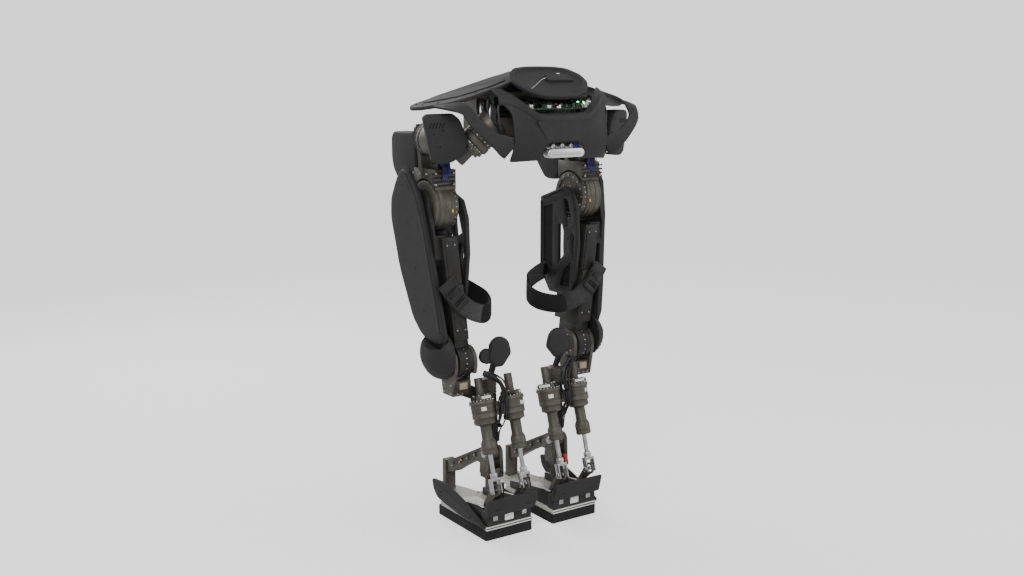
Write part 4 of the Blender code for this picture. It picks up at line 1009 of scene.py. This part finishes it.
def thigh_truss():
    refined("left_thigh_truss", bevel=0.0028, segments=3)
    lip = Form()
    for a, b in (((-0.138, 0.912), (-0.138, 0.706)), ((-0.132, 0.922), (-0.030, 0.957))):
        way = Vector((0, b[0] - a[0], b[1] - a[1]))
        turn = facing((0.1848, *a), way)
        lip.slab((-0.0036, -0.0026, 0.0), (0.0036, 0.0026, way.length), turn)
    pair("thigh_truss_lip", lip, SHELL, "thigh", "shell_plastic", 0.001)
    infill = [(-0.130, 0.897), (-0.081, 0.911), (-0.081, 0.713), (-0.130, 0.728)]
    panel = Form().plate(infill, "x", [(0.1880, 1.0), (0.1908, 1.0), (0.1916, 0.97)])
    pair("thigh_truss_infill", panel, PAD, "thigh", "shell_plastic")
    screws = Form()
    for y, z in ((-0.066, 0.918), (0.026, 0.900), (-0.068, 0.700), (0.014, 0.684), (-0.006, 0.812)):
        screws.bolt((0.1845, y, z), -X, 0.0028, 0.0022)
    pair("thigh_truss_screws", screws, BLACK_OXIDE, "thigh", "dark_metal")


STRAP_ROUTE = [
    (0.268, 0.0480, 0.733), (0.250, 0.0490, 0.706), (0.222, 0.0500, 0.672), (0.178, 0.046, 0.642),
    (0.130, 0.030, 0.628), (0.088, -0.008, 0.634), (0.078, -0.052, 0.650), (0.102, -0.092, 0.672),
    (0.138, -0.106, 0.692), (0.174, -0.110, 0.704),
]


STRAP_WIDTH = 0.050
STRAP_THICKNESS = 0.0030
PAD_STATIONS = (27, 58)
BUCKLE_STATION = 13


def strap_frame(steps=8):
    """The strap's route, with the way its width runs and the way its outer face looks."""
    route = curve_through(STRAP_ROUTE, steps)
    across, outs = [], []
    for i in range(len(route)):
        way = route[min(i + 1, len(route) - 1)] - route[max(i - 1, 0)]
        level = Vector((way.x, way.y, 0)).normalized()
        out = level.cross(Z)
        across.append(out.cross(way).normalized())
        outs.append(way.cross(across[-1]).normalized())
    return route, across, outs


def ribbon_uv(rings_along, ring_size, length, width):
    """UVs in metres along and across a strip whose rings go round its section."""
    def apply(data):
        layer = data.uv_layers.new(name="UVMap")
        half = ring_size // 2
        for face in data.polygons:
            for corner in face.loop_indices:
                index = data.loops[corner].vertex_index
                ring, k = divmod(index, ring_size)
                across = (k if k < half else ring_size - 1 - k) / (half - 1)
                layer.data[corner].uv = (length * ring / max(1, rings_along - 1) * 10, across * width * 10)
    return apply


def thigh_strap():
    route, across, outs = strap_frame()
    length = sum((b - a).length for a, b in zip(route, route[1:]))
    draw = random.Random(3)
    rings = []
    for i, point in enumerate(route):
        sag = 0.0008 * math.sin(i * 0.55) + draw.uniform(-0.0002, 0.0002)
        rings.append((point + outs[i] * sag, across[i]))
    skin = strip([p for p, _ in rings], [a for _, a in rings], STRAP_WIDTH, STRAP_THICKNESS, 0.0, 6)
    form = Form().rings(skin)
    pair("thigh_strap_band", form, WEAVE, "thigh", "webbing", stands_for=("thigh_strap",),
         uv=ribbon_uv(len(skin), len(skin[0]), length, STRAP_WIDTH))
    hem = Form()
    for s in (-1, 1):
        hem.tube([p + a * s * 0.0245 for p, a in rings], 0.0018, 6)
        hem_in = [p + a * s * 0.0205 + o * 0.0016 for (p, a), o in zip(rings, outs)]
        hem.tube(hem_in, 0.0005, 5)
    pair("thigh_strap_hem", hem, WEAVE, "thigh", "webbing")
    tab = Form().slab((0.1680, -0.1140, 0.6905), (0.1836, -0.1062, 0.7235))
    pair("thigh_strap_tab", tab, BLACK_OXIDE, "thigh", "dark_metal", 0.0015)
    strap_pad(route, across, outs)
    strap_buckle(route, across, outs)


def strap_pad(route, across, outs):
    """A foam pad that the strap runs through, crowned across and quilted by three sewn lines."""
    first, last = PAD_STATIONS
    rings = []
    for i in range(first, last + 1):
        t = (i - first) / (last - first)
        swell = math.sin(math.pi * min(1, max(0, t))) ** 0.35
        seam = 1 - 0.45 * max(math.exp(-((t - s) / 0.018) ** 2) for s in (0.08, 0.36, 0.64, 0.92))
        half = 0.0262 + 0.0010 * swell
        ring = []
        for k in range(24):
            a = TURN * k / 24
            u = math.copysign(abs(math.cos(a)) ** 0.45, math.cos(a))
            v = math.copysign(abs(math.sin(a)) ** 0.75, math.sin(a))
            ring.append(route[i] + across[i] * u * half - outs[i] * (0.0008 + v * 0.0052 * swell * seam))
        rings.append(ring)
    one, two = pair("thigh_pad", Form().rings(rings), PAD, "thigh", "webbing")
    for pad in (one, two):
        smooth = pad.modifiers.new("Smooth", "SUBSURF")
        smooth.levels = smooth.render_levels = 1
        settled(pad)
        pad.data.shade_smooth()


def strap_buckle(route, across, outs):
    middle = BUCKLE_STATION
    origin = route[middle]
    way = (route[middle + 1] - route[middle - 1]).normalized()
    side = across[middle]
    out = way.cross(side)
    out = out if out.dot(outs[middle]) > 0 else -out
    turn = Matrix((way, side, way.cross(side))).transposed()
    place = Matrix.Translation(origin) @ turn.to_4x4()
    lift = 1 if (way.cross(side)).dot(out) > 0 else -1
    frame_outline = rounded([(-0.029, -0.0235), (0.029, -0.0235), (0.029, 0.0235), (-0.029, 0.0235)], 0.006)
    levels = [(0.0008 * lift, 0.985), (0.0020 * lift, 1.0), (0.0050 * lift, 1.0), (0.0064 * lift, 0.97)]
    form = Form().plate(frame_outline, "z", levels, place)
    cuts = []
    for low, high in ((-0.0225, -0.0125), (0.0030, 0.0130)):
        slot = rounded([(low, -0.0185), (high, -0.0185), (high, 0.0185), (low, 0.0185)], 0.002)
        cuts.append(Form().plate(slot, "z", [(0.0030 * lift, 1), (0.012 * lift, 1)], place))
    pair("thigh_buckle", form, DARK, "thigh", "dark_metal", 0.0006, 2, cuts)
    bar = Form()
    for u in (-0.0175, 0.0080):
        bar.tube([place @ Vector((u, v, 0.0052 * lift)) for v in (-0.0190, 0.0190)], 0.0016, 10)
    pair("thigh_buckle_bars", bar, BLACK_OXIDE, "thigh", "dark_metal")
    tail = Form().plate(rounded([(-0.030, -0.0170), (-0.012, -0.0170), (-0.012, 0.0170), (-0.030, 0.0170)],
                                0.002),
                        "z", [(0.0060 * lift, 1), (0.0078 * lift, 1)], place)
    pair("thigh_strap_tail", tail, WEAVE, "thigh", "webbing", 0.0005)


# ---------------------------------------------------------------- knee and shin

def knee():
    r, x0, x1 = 0.0479, 0.1832, 0.2298
    l = x1 - x0
    form = Form().turned([(0.012, l), (r - 0.006, l), (r - 0.0016, l - 0.0010), (r, l - 0.004),
                          (r, l - 0.014), (r - 0.0016, l - 0.0155), (r - 0.0016, 0.0155), (r, 0.014),
                          (r, 0.004), (r - 0.0016, 0.001), (r - 0.006, 0.0), (0.012, 0.0)],
                          (x0, KNEE_AT.y, KNEE_AT.z), X, 72)
    pair("knee_motor_body", form, DARK, "thigh", "anodised_alloy", stands_for=("knee_motor",))
    bolts = Form()
    for k in range(20):
        a = TURN * k / 20
        out = Vector((0, math.cos(a), math.sin(a)))
        bolts.bolt(Vector(((x0 + x1) / 2, KNEE_AT.y, KNEE_AT.z)) + out * (r - 0.0018), out, 0.0020, 0.0014,
                   10)
    pair("knee_motor_bolts", bolts, STEEL, "thigh", "bright_steel")


KNEE_CAP_CENTRE = Vector((0.246, -0.014, 0.520))
KNEE_CAP_HALF = Vector((0.0536, 0.0836, 0.0736))
RIB_HEIGHT = 0.0018
RIB_SPACING = 0.105


def knee_cover():
    """A dome with curved ribs that follow its lower front edge."""
    centre, half = KNEE_CAP_CENTRE, KNEE_CAP_HALF
    form = Form()
    bmesh.ops.create_uvsphere(form.bm, u_segments=112, v_segments=72, radius=1,
                              matrix=Matrix.Rotation(math.pi / 2, 4, "Y"))
    for vert in form.bm.verts:
        v = vert.co
        reach = math.hypot(v.y - 0.25, v.z - 0.35)
        wave = math.cos(reach * TURN / RIB_SPACING)
        rib = RIB_HEIGHT * max(0.0, wave) ** 2 * min(1, max(0, (reach - 0.42) / 0.12))
        scale = 1 - (RIB_HEIGHT - rib) / 0.07
        vert.co = centre + Vector((v.x * half.x, v.y * half.y, v.z * half.z)) * scale
    around = [(-0.03 + (y + 0.03) * 1.05, 0.60 + (z - 0.60) * 1.05) for y, z in SHELL_OUTLINE]
    cuts = [
        Form().turned([(0.056, 0), (0.056, 0.150)], (0.100, KNEE_AT.y, KNEE_AT.z), X, 64),
        Form().slab((0.10, -0.0775, 0.500), (0.2500, 0.10, 0.640)),
        Form().slab((0.10, -0.046, 0.40), (0.2500, 0.10, 0.501)),
        Form().slab((0.10, -0.20, 0.40), (0.205, 0.10, 0.64)),
        Form().plate(around, "x", [(SHELL_X - 0.0006, 1), (0.34, 1)], thigh_lean()),
    ]
    pair("knee_cover_body", form, SHELL, "thigh", "shell_plastic", 0.0, 2, cuts, ("knee_cover",))


def shin():
    refined("left_shin_frame", bevel=0.0016, segments=3)
    x, y = ANKLE_AT.x, 0.026
    can = [(0.0, 0.0764), (0.0140, 0.0764), (0.0170, 0.0750), (0.0212, 0.0712)]
    for k in range(6):
        z = 0.0660 - 0.0105 * k
        can += [(0.0216, z), (0.0216, z - 0.0030), (0.0190, z - 0.0042), (0.0190, z - 0.0088)]
    can += [(0.0212, 0.001), (0.0, 0.001)]
    pair("shin_drive_can", Form().turned(can, (x, y, 0.366), Z, 56), ALLOY, "shin", "anodised_alloy")
    bolts = Form()
    for side in (0.2436, 0.1694):
        way = X if side > 0.2 else -X
        bolts.bolt_ring((side, KNEE_AT.y, KNEE_AT.z), way, 0.029, 10, 0.0027, 0.0026)
    for y, z in ((-0.008, 0.413), (0.028, 0.413), (-0.008, 0.437), (0.028, 0.437)):
        bolts.bolt((0.2426, y, z), X, 0.0028, 0.0026)
    for x in (0.196, 0.212, 0.228):
        bolts.bolt((x, 0.0372, 0.412), Y, 0.0026, 0.0026)
    for z in (0.300, 0.325, 0.262):
        bolts.bolt((0.1266, 0.038, z), X, 0.0026, 0.0024)
        bolts.bolt((0.1034, 0.038, z), -X, 0.0026, 0.0024)
    bolts.bolt_ring((0.1271, ANKLE_AT.y, ANKLE_AT.z), X, 0.0, 1, 0.008, 0.0010)
    pair("shin_bolts", bolts, STEEL, "shin", "bright_steel")
    caps = Form()
    for side, way in ((0.2436, X), (0.1694, -X)):
        caps.turned([(0.0, 0.0036), (0.016, 0.0036), (0.0185, 0.0026), (0.0195, 0.0)],
                    (side, KNEE_AT.y, KNEE_AT.z), way, 48)
    pair("shin_knee_caps", caps, DARK, "shin", "dark_metal")
    block = Form().slab((0.198, 0.0370, 0.424), (0.222, 0.0440, 0.443))
    pair("shin_tan_block", block, TAN, "shin", "cream_plate", 0.0010)


def calf_cuff():
    pads = Form()
    large = rounded([*arc(0.102, 0.530, 0.034, 16, 0.35, math.pi - 0.75), (0.0650, 0.522), (0.0640, 0.510),
                     (0.092, 0.477), (0.118, 0.477), (0.138, 0.502)], 0.005, 2)
    pads.plate(large, "y", [(0.0502, 0.93), (0.0525, 0.985), (0.0560, 1.0), (0.0630, 0.985), (0.0665, 0.92),
                            (0.0679, 0.78), (0.0680, 0.45)])
    pads.slab((0.118, 0.0515, 0.4900), (0.146, 0.0590, 0.5280))
    small = arc(0.143, 0.512, 0.0218, 36)
    pads.plate(small, "y", [(0.0462, 0.90), (0.0480, 0.98), (0.0510, 1.0), (0.0570, 0.98), (0.0600, 0.90),
                            (0.0614, 0.70), (0.0618, 0.35)])
    turn = facing((0.1155, 0.0445, 0.4722), Vector((0.116, 0.057, 0.500)) - Vector((ANKLE_AT.x, 0.032,
                                                                                    0.4445)))
    pads.slab((-0.0078, -0.0048, -0.0300), (0.0078, 0.0048, 0.0300), turn)
    pair("calf_cuff_body", pads, SHELL, "shin", "shell_plastic", stands_for=("calf_cuff",))
    seams = Form()
    for centre, size in (((0.104, 0.528), 0.0285), ((0.143, 0.512), 0.0175)):
        seams.tube([Vector((u, 0.0655 if size > 0.02 else 0.0600, v)) for u, v in arc(*centre, size, 40)] +
                   [Vector((centre[0] + size, 0.0655 if size > 0.02 else 0.0600, centre[1]))], 0.0006, 6)
    pair("calf_cuff_seams", seams, BLACK_OXIDE, "shin", "dark_metal")


def harness():
    """The shin's cable bundle: strands that wander round the CAD tube's own line."""
    route = curve_through([
        (0.158, 0.062, 0.468), (0.137, 0.073, 0.458), (0.112, 0.086, 0.434), (0.106, 0.094, 0.404),
        (0.112, 0.097, 0.375), (0.115, 0.097, 0.350), (0.115, 0.082, 0.322), (0.115, 0.064, 0.295),
        (0.115, 0.062, 0.262)], 6)
    draw = random.Random(5)
    black, grey = Form(), Form()
    for k in range(11):
        start = TURN * k / 11
        reach = draw.uniform(0.0025, 0.0080)
        twist = draw.uniform(-5, 5)
        lift = draw.uniform(0.0, 0.010)
        strand = []
        for i, point in enumerate(route):
            t = i / (len(route) - 1)
            way = (route[min(i + 1, len(route) - 1)] - route[max(i - 1, 0)]).normalized()
            side = (X - way * way.x).normalized()
            up = way.cross(side)
            loose = 1 + 0.9 * math.sin(math.pi * t) * (k % 3)
            a = start + twist * t
            swing = (side * math.cos(a) + up * math.sin(a)) * reach * loose
            strand.append(point + swing + Z * lift * math.sin(math.pi * t))
        (grey if k == 4 else black).tube(strand, draw.uniform(0.0016, 0.0026), 8)
    pair("shin_harness_cables", black, CABLE, "shin", "rubber", stands_for=("shin_harness",))
    pair("shin_harness_grey", grey, DARK, "shin", "rubber")
    ties = Form()
    for i in (8, 22, 38, 46):
        if i + 1 < len(route):
            way = (route[i + 1] - route[i - 1]).normalized()
            ties.turned([(0.0070, -0.0014), (0.0086, -0.0014), (0.0086, 0.0014), (0.0070, 0.0014)],
                        route[i], way, 20)
    pair("shin_harness_ties", ties, BLACK_OXIDE, "shin", "rubber")


# ---------------------------------------------------------------- ankle actuators

ROD_WAY = Vector(JOINTS["left_rod_slide_outer"]["axis"]).normalized()
PIN_REACH = math.hypot(0.137 - 0.072, 0.148 - 0.360)


def actuator(label, side):
    pivot = joint_at("left_actuator_tilt_" + label)
    body = f"actuator_{label}"
    profile = [
        (0.0078, 0.1210), (0.0170, 0.1210), (0.0205, 0.1195), (0.0220, 0.1165), (0.0220, 0.1100),
        (0.0212, 0.1090), (0.0212, 0.1060), (0.0220, 0.1050), (0.0220, 0.0910), (0.0205, 0.0860),
        (0.0180, 0.0815), (0.0160, 0.0775), (0.0160, 0.0420), (0.0185, 0.0395), (0.0240, 0.0375),
        (0.0288, 0.0355), (0.0288, 0.0215), (0.0300, 0.0195), (0.0330, 0.0180), (0.0330, 0.0060),
        (0.0322, 0.0050), (0.0322, 0.0035), (0.0330, 0.0025), (0.0330, -0.0199), (0.0354, -0.0204),
        (0.0360, -0.0211), (0.0360, -0.0295), (0.0350, -0.0305), (0.0318, -0.0310), (0.0302, -0.0325),
        (0.0300, -0.0425), (0.0285, -0.0440), (0.0120, -0.0446), (0.0120, -0.0925), (0.0112, -0.0938),
        (0.0, -0.0938),
    ]
    form = Form().turned(profile, pivot, ROD_WAY, 64)
    bore = Form().turned([(0.0080, 0.020), (0.0080, 0.130)], pivot, ROD_WAY, 32)
    trunnion = Form().turned([(0.0080, 0.0300), (0.0080, 0.0500)], pivot, Vector((-side, 0, 0)), 32)
    pair(f"{body}_housing", form, ALLOY, body, "anodised_alloy", 0.0, 2, (bore, trunnion),
         (f"ankle_actuator_{label}",))
    steel = Form()
    steel.bolt_ring(pivot - ROD_WAY * 0.0303, -ROD_WAY, 0.0333, 20, 0.0018, 0.0022)
    steel.bolt_ring(pivot - ROD_WAY * 0.0438, -ROD_WAY, 0.0220, 8, 0.0020, 0.0024)
    steel.bolt_ring(pivot + ROD_WAY * 0.1208, ROD_WAY, 0.0150, 6, 0.0016, 0.0010)
    pair(f"{body}_bolts", steel, STEEL, body, "bright_steel")
    turn = facing(pivot, ROD_WAY)
    label_form, plug_form = Form(), Form()
    rear = turn.to_3x3().inverted() @ Vector((0.45 * side, 1, 0))
    middle = math.atan2(rear.y, rear.x)

    def patch(form, low, high, radius, thick, spread, centre):
        rings = []
        for k in range(13):
            a = centre - spread + 2 * spread * k / 12
            rings.append([turn @ Vector((r * math.cos(a), r * math.sin(a), s))
                          for r, s in ((radius, low), (radius + thick, low), (radius + thick, high),
                                       (radius, high))])
        form.rings(rings)

    patch(label_form, -0.0125, -0.0020, 0.0328, 0.0006, 0.22, middle)
    patch(label_form, -0.0420, -0.0350, 0.0300, 0.0012, 0.55, middle - 0.5)
    pair(f"{body}_labels", label_form, LABEL, body, "cream_plate")
    patch(plug_form, -0.0428, -0.0330, 0.0299, 0.0040, 0.30, middle + 0.9)
    patch(plug_form, 0.0220, 0.0340, 0.0285, 0.0030, 0.35, middle + 2.2)
    pair(f"{body}_plugs", plug_form, BLACK_OXIDE, body, "dark_metal", 0.0006)
    cap = Form().turned([(0.0, -0.0944), (0.0085, -0.0944), (0.0100, -0.0940), (0.0100, -0.0900)], pivot,
                        ROD_WAY, 32)
    pair(f"{body}_cap", cap, BLACK_OXIDE, body, "dark_metal")


def rods(label):
    pivot = joint_at("left_actuator_tilt_" + label)
    rod = Form().turned([(0.0, 0.0502), (0.0060, 0.0502), (0.0064, 0.0510), (0.0064, PIN_REACH - 0.0330),
                         (0.0060, PIN_REACH - 0.0322), (0.0, PIN_REACH - 0.0322)], pivot, ROD_WAY, 40)
    pair(f"rod_{label}_shaft", rod, STEEL, f"rod_{label}", "bright_steel",
         stands_for=(f"actuator_rod_{label}",))
    node = f"rod_end_{label}"
    pair(f"rod_end_{label}_fork", own_copy("left_" + node), STEEL, node, "bright_steel", 0.0016, 3,
         stands_for=(node,))
    pin = pivot + ROD_WAY * PIN_REACH
    nuts = Form()
    for s in (-1, 1):
        nuts.turned([(0.0072, 0.0), (0.0072, 0.0022), (0.0062, 0.0032), (0.0, 0.0032)],
                    pin + X * s * 0.0153, X * s, 6)
    nuts.turned([(0.0100, 0.0), (0.0122, 0.0006), (0.0122, 0.0052), (0.0100, 0.0058)],
                pivot + ROD_WAY * (PIN_REACH - 0.0435), ROD_WAY, 6)
    pair(f"rod_end_{label}_nuts", nuts, STEEL, node, "bright_steel", 0.0005)


# ---------------------------------------------------------------- ankle and foot

def ankle():
    pockets = []
    for a, b in (((-0.150, 0.133), (-0.118, 0.150)), ((-0.110, 0.155), (-0.078, 0.173)),
                 ((-0.070, 0.177), (-0.036, 0.196)), ((-0.028, 0.199), (-0.006, 0.209))):
        way = Vector((0, b[0] - a[0], b[1] - a[1]))
        for x in (0.101, 0.129):
            turn = facing((x, *a), way)
            pockets.append(Form().slab((-0.0032, -0.0075, 0.0), (0.0032, 0.0075, way.length), turn))
    refined("left_ankle_arm", bevel=0.0013, cuts=pockets)
    bolts = Form()
    for y, z in ((-0.158, 0.1285), (-0.114, 0.1525), (-0.074, 0.175), (-0.032, 0.197)):
        for x, way in ((0.1288, X), (0.1012, -X)):
            bolts.bolt((x, y, z), way, 0.0026, 0.0024)
    for x, way in ((0.1415, X), (0.0885, -X)):
        bolts.turned([(0.0, 0.0030), (0.0095, 0.0030), (0.0110, 0.0018), (0.0115, 0.0)],
                     (x, ANKLE_AT.y, ANKLE_AT.z), way, 32)
        bolts.bolt_ring((x, ANKLE_AT.y, ANKLE_AT.z), way, 0.0155, 8, 0.0016, 0.0018)
    for x in (0.098, 0.132):
        for z in (0.156, 0.172):
            bolts.bolt((x, 0.0598, z), Y, 0.0024, 0.0024)
    pair("ankle_bolts", bolts, STEEL, "ankle", "bright_steel")
    mark = Form().slab((0.1284, -0.110, 0.158), (0.1298, -0.104, 0.163))
    pair("ankle_mark", mark, YELLOW, "ankle", "cream_plate", 0.0003)
    wedge = Form().plate(rounded([(0.0600, 0.1780), (0.0680, 0.1780), (0.0760, 0.1520), (0.0700, 0.1440),
                                  (0.0600, 0.1500)], 0.003), "x", [(0.1220, 0.96), (0.1230, 1), (0.1330, 1),
                                                                   (0.1340, 0.96)])
    pair("ankle_red_lever", wedge, RED, "ankle", "dark_metal")


TREAD_PITCH = 0.0145


def foot():
    for plate in refined("left_foot_plate", bevel=0.0010):
        plate.data.materials.append(ALLOY)
        plate.data.materials.append(DARK)
        for face in plate.data.polygons:
            x, y, z = face.center
            if z > 0.0425 and abs(abs(x) - 0.115) < 0.055:
                face.material_index = 1
            elif z > 0.0425 and abs(face.normal.z) < 0.5:
                face.material_index = 2
    low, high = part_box("left_foot_sole")
    sole = Form()
    outline = rounded([(low.x, low.y), (high.x, low.y), (high.x, high.y), (low.x, high.y)], 0.007)
    top = high.z
    sole.plate(outline, "z", [(0.0, 0.990), (0.0014, 1.0), (0.0120, 1.0), (0.0128, 0.996), (0.0146, 0.996),
                              (0.0154, 1.0), (top - 0.0020, 1.0), (top, 0.992)])
    treads = Form()
    for k in range(1, 18):
        y = low.y + TREAD_PITCH * k
        treads.slab((low.x - 0.01, y - 0.0018, -0.002), (high.x + 0.01, y + 0.0018, 0.0034))
    pair("foot_sole_body", sole, RUBBER, "foot", "rubber", 0.0, 2, (treads,), ("foot_sole",))
    screws = Form()
    for y in (-0.085, -0.050, -0.015, 0.020, 0.055):
        screws.bolt((0.1806, y, 0.0625 + max(0, (y + 0.105) * 0.142)), Z, 0.0024, 0.0022)
    for x, y in ((0.060, -0.120), (0.170, -0.120), (0.100, -0.214), (0.130, -0.214), (0.115, -0.150)):
        screws.bolt((x, y, 0.0408), Z, 0.0030, 0.0026)
    pair("foot_screws", screws, STEEL, "foot", "bright_steel")
    oval = [(0.115 + 0.030 * math.cos(TURN * k / 36),
             -0.060 + 0.046 * math.sin(TURN * k / 36)) for k in range(36)]
    pad = Form().plate(oval, "z", [(0.0405, 1.0), (0.0440, 1.0), (0.0452, 0.96), (0.0452, 0.5)])
    pair("foot_oval_plate", pad, SILVER, "foot", "camera_body")


def heel():
    form = Form().slab((0.0404, 0.1008, 0.0414), (0.1906, 0.1302, 0.0838))
    windows = [Form().plate(rounded(arch, 0.002), "y", [(0.1285, 1), (0.140, 1)]) for arch in (
        [(0.0985, 0.0470), (0.0985, 0.0660), (0.1060, 0.0745), (0.1250, 0.0745), (0.1325, 0.0660),
         (0.1325, 0.0470)],)]
    pair("heel_box_body", form, SHELL, "foot", "shell_plastic", 0.0014, 2, windows, ("heel_box",))
    wavy = []
    count = 40
    for k in range(count + 1):
        x = 0.0342 + (0.1978 - 0.0342) * k / count
        dip = 0.0035 * math.cos(TURN * k / count) - 0.0012
        wavy.append([Vector((x, 0.1272, 0.0705)), Vector((x, 0.1272, 0.0958)),
                     Vector((x, 0.1462, 0.1246)), Vector((x, 0.1537, 0.1246)),
                     Vector((x, 0.1470, 0.0960)), Vector((x, 0.1405, 0.0722 + max(0, dip)))])
    bumper = Form().rings(wavy)
    notches = [Form().slab((x - 0.008, 0.09, 0.0905), (x + 0.008, 0.1460, 0.14)) for x in (0.065, 0.165)]
    pair("heel_bumper", bumper, SHELL, "foot", "shell_plastic", 0.0012, 2, notches)
    squares = Form()
    for x in (0.066, 0.164):
        squares.slab((x - 0.0075, 0.1298, 0.0560), (x + 0.0075, 0.1322, 0.0690))
        for k in range(4):
            squares.slab((x - 0.0058 + 0.0033 * k, 0.1318, 0.0585), (x - 0.0040 + 0.0033 * k, 0.1330, 0.0665))
    pair("heel_connectors", squares, STEEL, "foot", "bright_steel", 0.0005)
    pane = Form().plate(rounded([(0.1005, 0.0485), (0.1005, 0.0650), (0.1070, 0.0725), (0.1240, 0.0725),
                                 (0.1305, 0.0650), (0.1305, 0.0485)], 0.002), "y", [(0.1280, 1), (0.1296, 1)])
    pair("heel_window", pane, LABEL, "foot", "cream_plate", 0.0004)
    edge = Form()
    for z in (0.0316, 0.0385):
        edge.slab((0.0372, 0.1296, z - 0.0013), (0.1938, 0.1312, z + 0.0013))
    pair("heel_plate_edge", edge, LABEL, "foot", "cream_plate", 0.0004)
    gap = Form().slab((0.0385, 0.1290, 0.0335), (0.1925, 0.1306, 0.0368))
    pair("heel_plate_gap", gap, BLACK_OXIDE, "foot", "dark_metal", 0.0004)


def foot_cover():
    outline = rounded([(-0.158, 0.100), (-0.150, 0.072), (-0.128, 0.052), (0.0, 0.036), (0.126, 0.034),
                       (0.132, 0.044), (0.100, 0.060), (0.010, 0.092), (-0.080, 0.112), (-0.146, 0.106)],
                       0.014, 5)
    form = Form().plate(outline, "x", [(0.1957, 0.985), (0.1965, 1.0), (0.1990, 1.0), (0.1998, 0.985),
                                       (0.2000, 0.945), (0.2018, 0.925), (0.2024, 0.89), (0.2025, 0.60)])
    pair("foot_cover_foot", Form().slab((0.1855, -0.0595, 0.0458), (0.1956, 0.0595, 0.0556)), SHELL, "foot",
         "shell_plastic", 0.0008)
    holes = [Form().turned([(0.0028, -0.01), (0.0028, 0.01)], (0.200, y, z), X, 20)
             for y, z in ((-0.100, 0.078), (0.060, 0.052))]
    leaf = curve_through([(0.2026, -0.120, 0.092), (0.2026, -0.070, 0.090), (0.2026, 0.000, 0.074),
                          (0.2026, 0.060, 0.060), (0.2026, 0.100, 0.050)], 8)
    holes.append(Form().tube(leaf, 0.0012, 6))
    pair("foot_cover_body", form, SHELL, "foot", "shell_plastic", 0.0, 2, holes, ("foot_cover",))


# ---------------------------------------------------------------- camera, floor and light

CAMERA_AT = (1.8874, 2.7402, 1.2995)
CAMERA_WAY = (-0.5541, -0.8123, -0.1822)
LENS_MM = 41.34
SENSOR_MM = 36.0
ROOM_REACH = 9.0
ROOM_CURVE = 2.0
ROOM_HEIGHT = 7.0
ROOM_SIDES = 96
LIGHTS = (("key", (2.2, 2.6, 3.4), 2.2, 70), ("fill", (-2.8, 2.4, 2.0), 2.6, 30),
          ("rim", (0.4, -2.8, 2.6), 2.0, 45))


def camera():
    data = bpy.data.cameras.new("camera")
    data.lens = LENS_MM
    data.sensor_width = SENSOR_MM
    made = bpy.data.objects.new("camera", data)
    bpy.context.scene.collection.objects.link(made)
    made.location = CAMERA_AT
    made.rotation_euler = Vector(CAMERA_WAY).to_track_quat("-Z", "Y").to_euler()
    bpy.context.scene.camera = made


def studio():
    """A pale floor that curves up into a wall all round."""
    flat = ROOM_REACH - ROOM_CURVE
    profile = [(flat, 0.0)]
    profile += [(flat + ROOM_CURVE * math.sin(a), ROOM_CURVE - ROOM_CURVE * math.cos(a))
                for a in (math.pi / 2 * k / 10 for k in range(1, 11))]
    profile.append((ROOM_REACH, ROOM_HEIGHT))
    bm = bmesh.new()
    rows = [[bm.verts.new((r * math.cos(TURN * k / ROOM_SIDES), r * math.sin(TURN * k / ROOM_SIDES), z))
             for k in range(ROOM_SIDES)] for r, z in profile]
    bm.faces.new(rows[0])
    for one, two in zip(rows, rows[1:]):
        for k in range(ROOM_SIDES):
            bm.faces.new((one[k], two[k], two[(k + 1) % ROOM_SIDES], one[(k + 1) % ROOM_SIDES]))
    data = bpy.data.meshes.new("studio_floor")
    bm.to_mesh(data)
    bm.free()
    data.shade_smooth()
    floor = bpy.data.objects.new("studio_floor", data)
    bpy.context.scene.collection.objects.link(floor)
    pale = Graph("studio_paper")
    tone = pale.ramp(pale.noise(0.8, 2.0), 0.3, 0.7, (0.800, 0.800, 0.802), (0.812, 0.812, 0.814))
    pale.join(tone, pale.shader.inputs["Base Color"])
    pale.shader.inputs["Roughness"].default_value = 0.95
    pale.shader.inputs["Specular IOR Level"].default_value = 0.1
    pale.shader.inputs["Emission Color"].default_value = (0.92, 0.92, 0.93, 1)
    pale.shader.inputs["Emission Strength"].default_value = 0.80
    floor.data.materials.append(pale.material)
    floor.visible_diffuse = False
    floor.visible_glossy = False


def lights():
    world = bpy.data.worlds.new("studio_world")
    world.use_nodes = True
    world.node_tree.nodes["Background"].inputs["Color"].default_value = (1.0, 1.0, 1.0, 1)
    world.node_tree.nodes["Background"].inputs["Strength"].default_value = 0.80
    bpy.context.scene.world = world
    aim = Vector((0, 0, 0.75))
    for name, place, size, power in LIGHTS:
        data = bpy.data.lights.new(name, "AREA")
        data.size = size
        data.energy = power
        lamp = bpy.data.objects.new(name, data)
        bpy.context.scene.collection.objects.link(lamp)
        lamp.location = place
        lamp.rotation_euler = (aim - Vector(place)).to_track_quat("-Z", "Y").to_euler()


camera()
studio()
lights()

rear_shell()
wings()
hatch()
pelvis_inside()
hoses()
depth_camera()

hip_yaw()
hip_roll()
hip_cover()
hip_yoke()
hip_pitch()
hip_pod()

thigh_shell()
thigh_frame()
thigh_truss()
thigh_strap()

knee()
knee_cover()
shin()
calf_cuff()
harness()
for which, outward in (("outer", 1), ("inner", -1)):
    actuator(which, outward)
    rods(which)
ankle()
foot()
heel()
foot_cover()
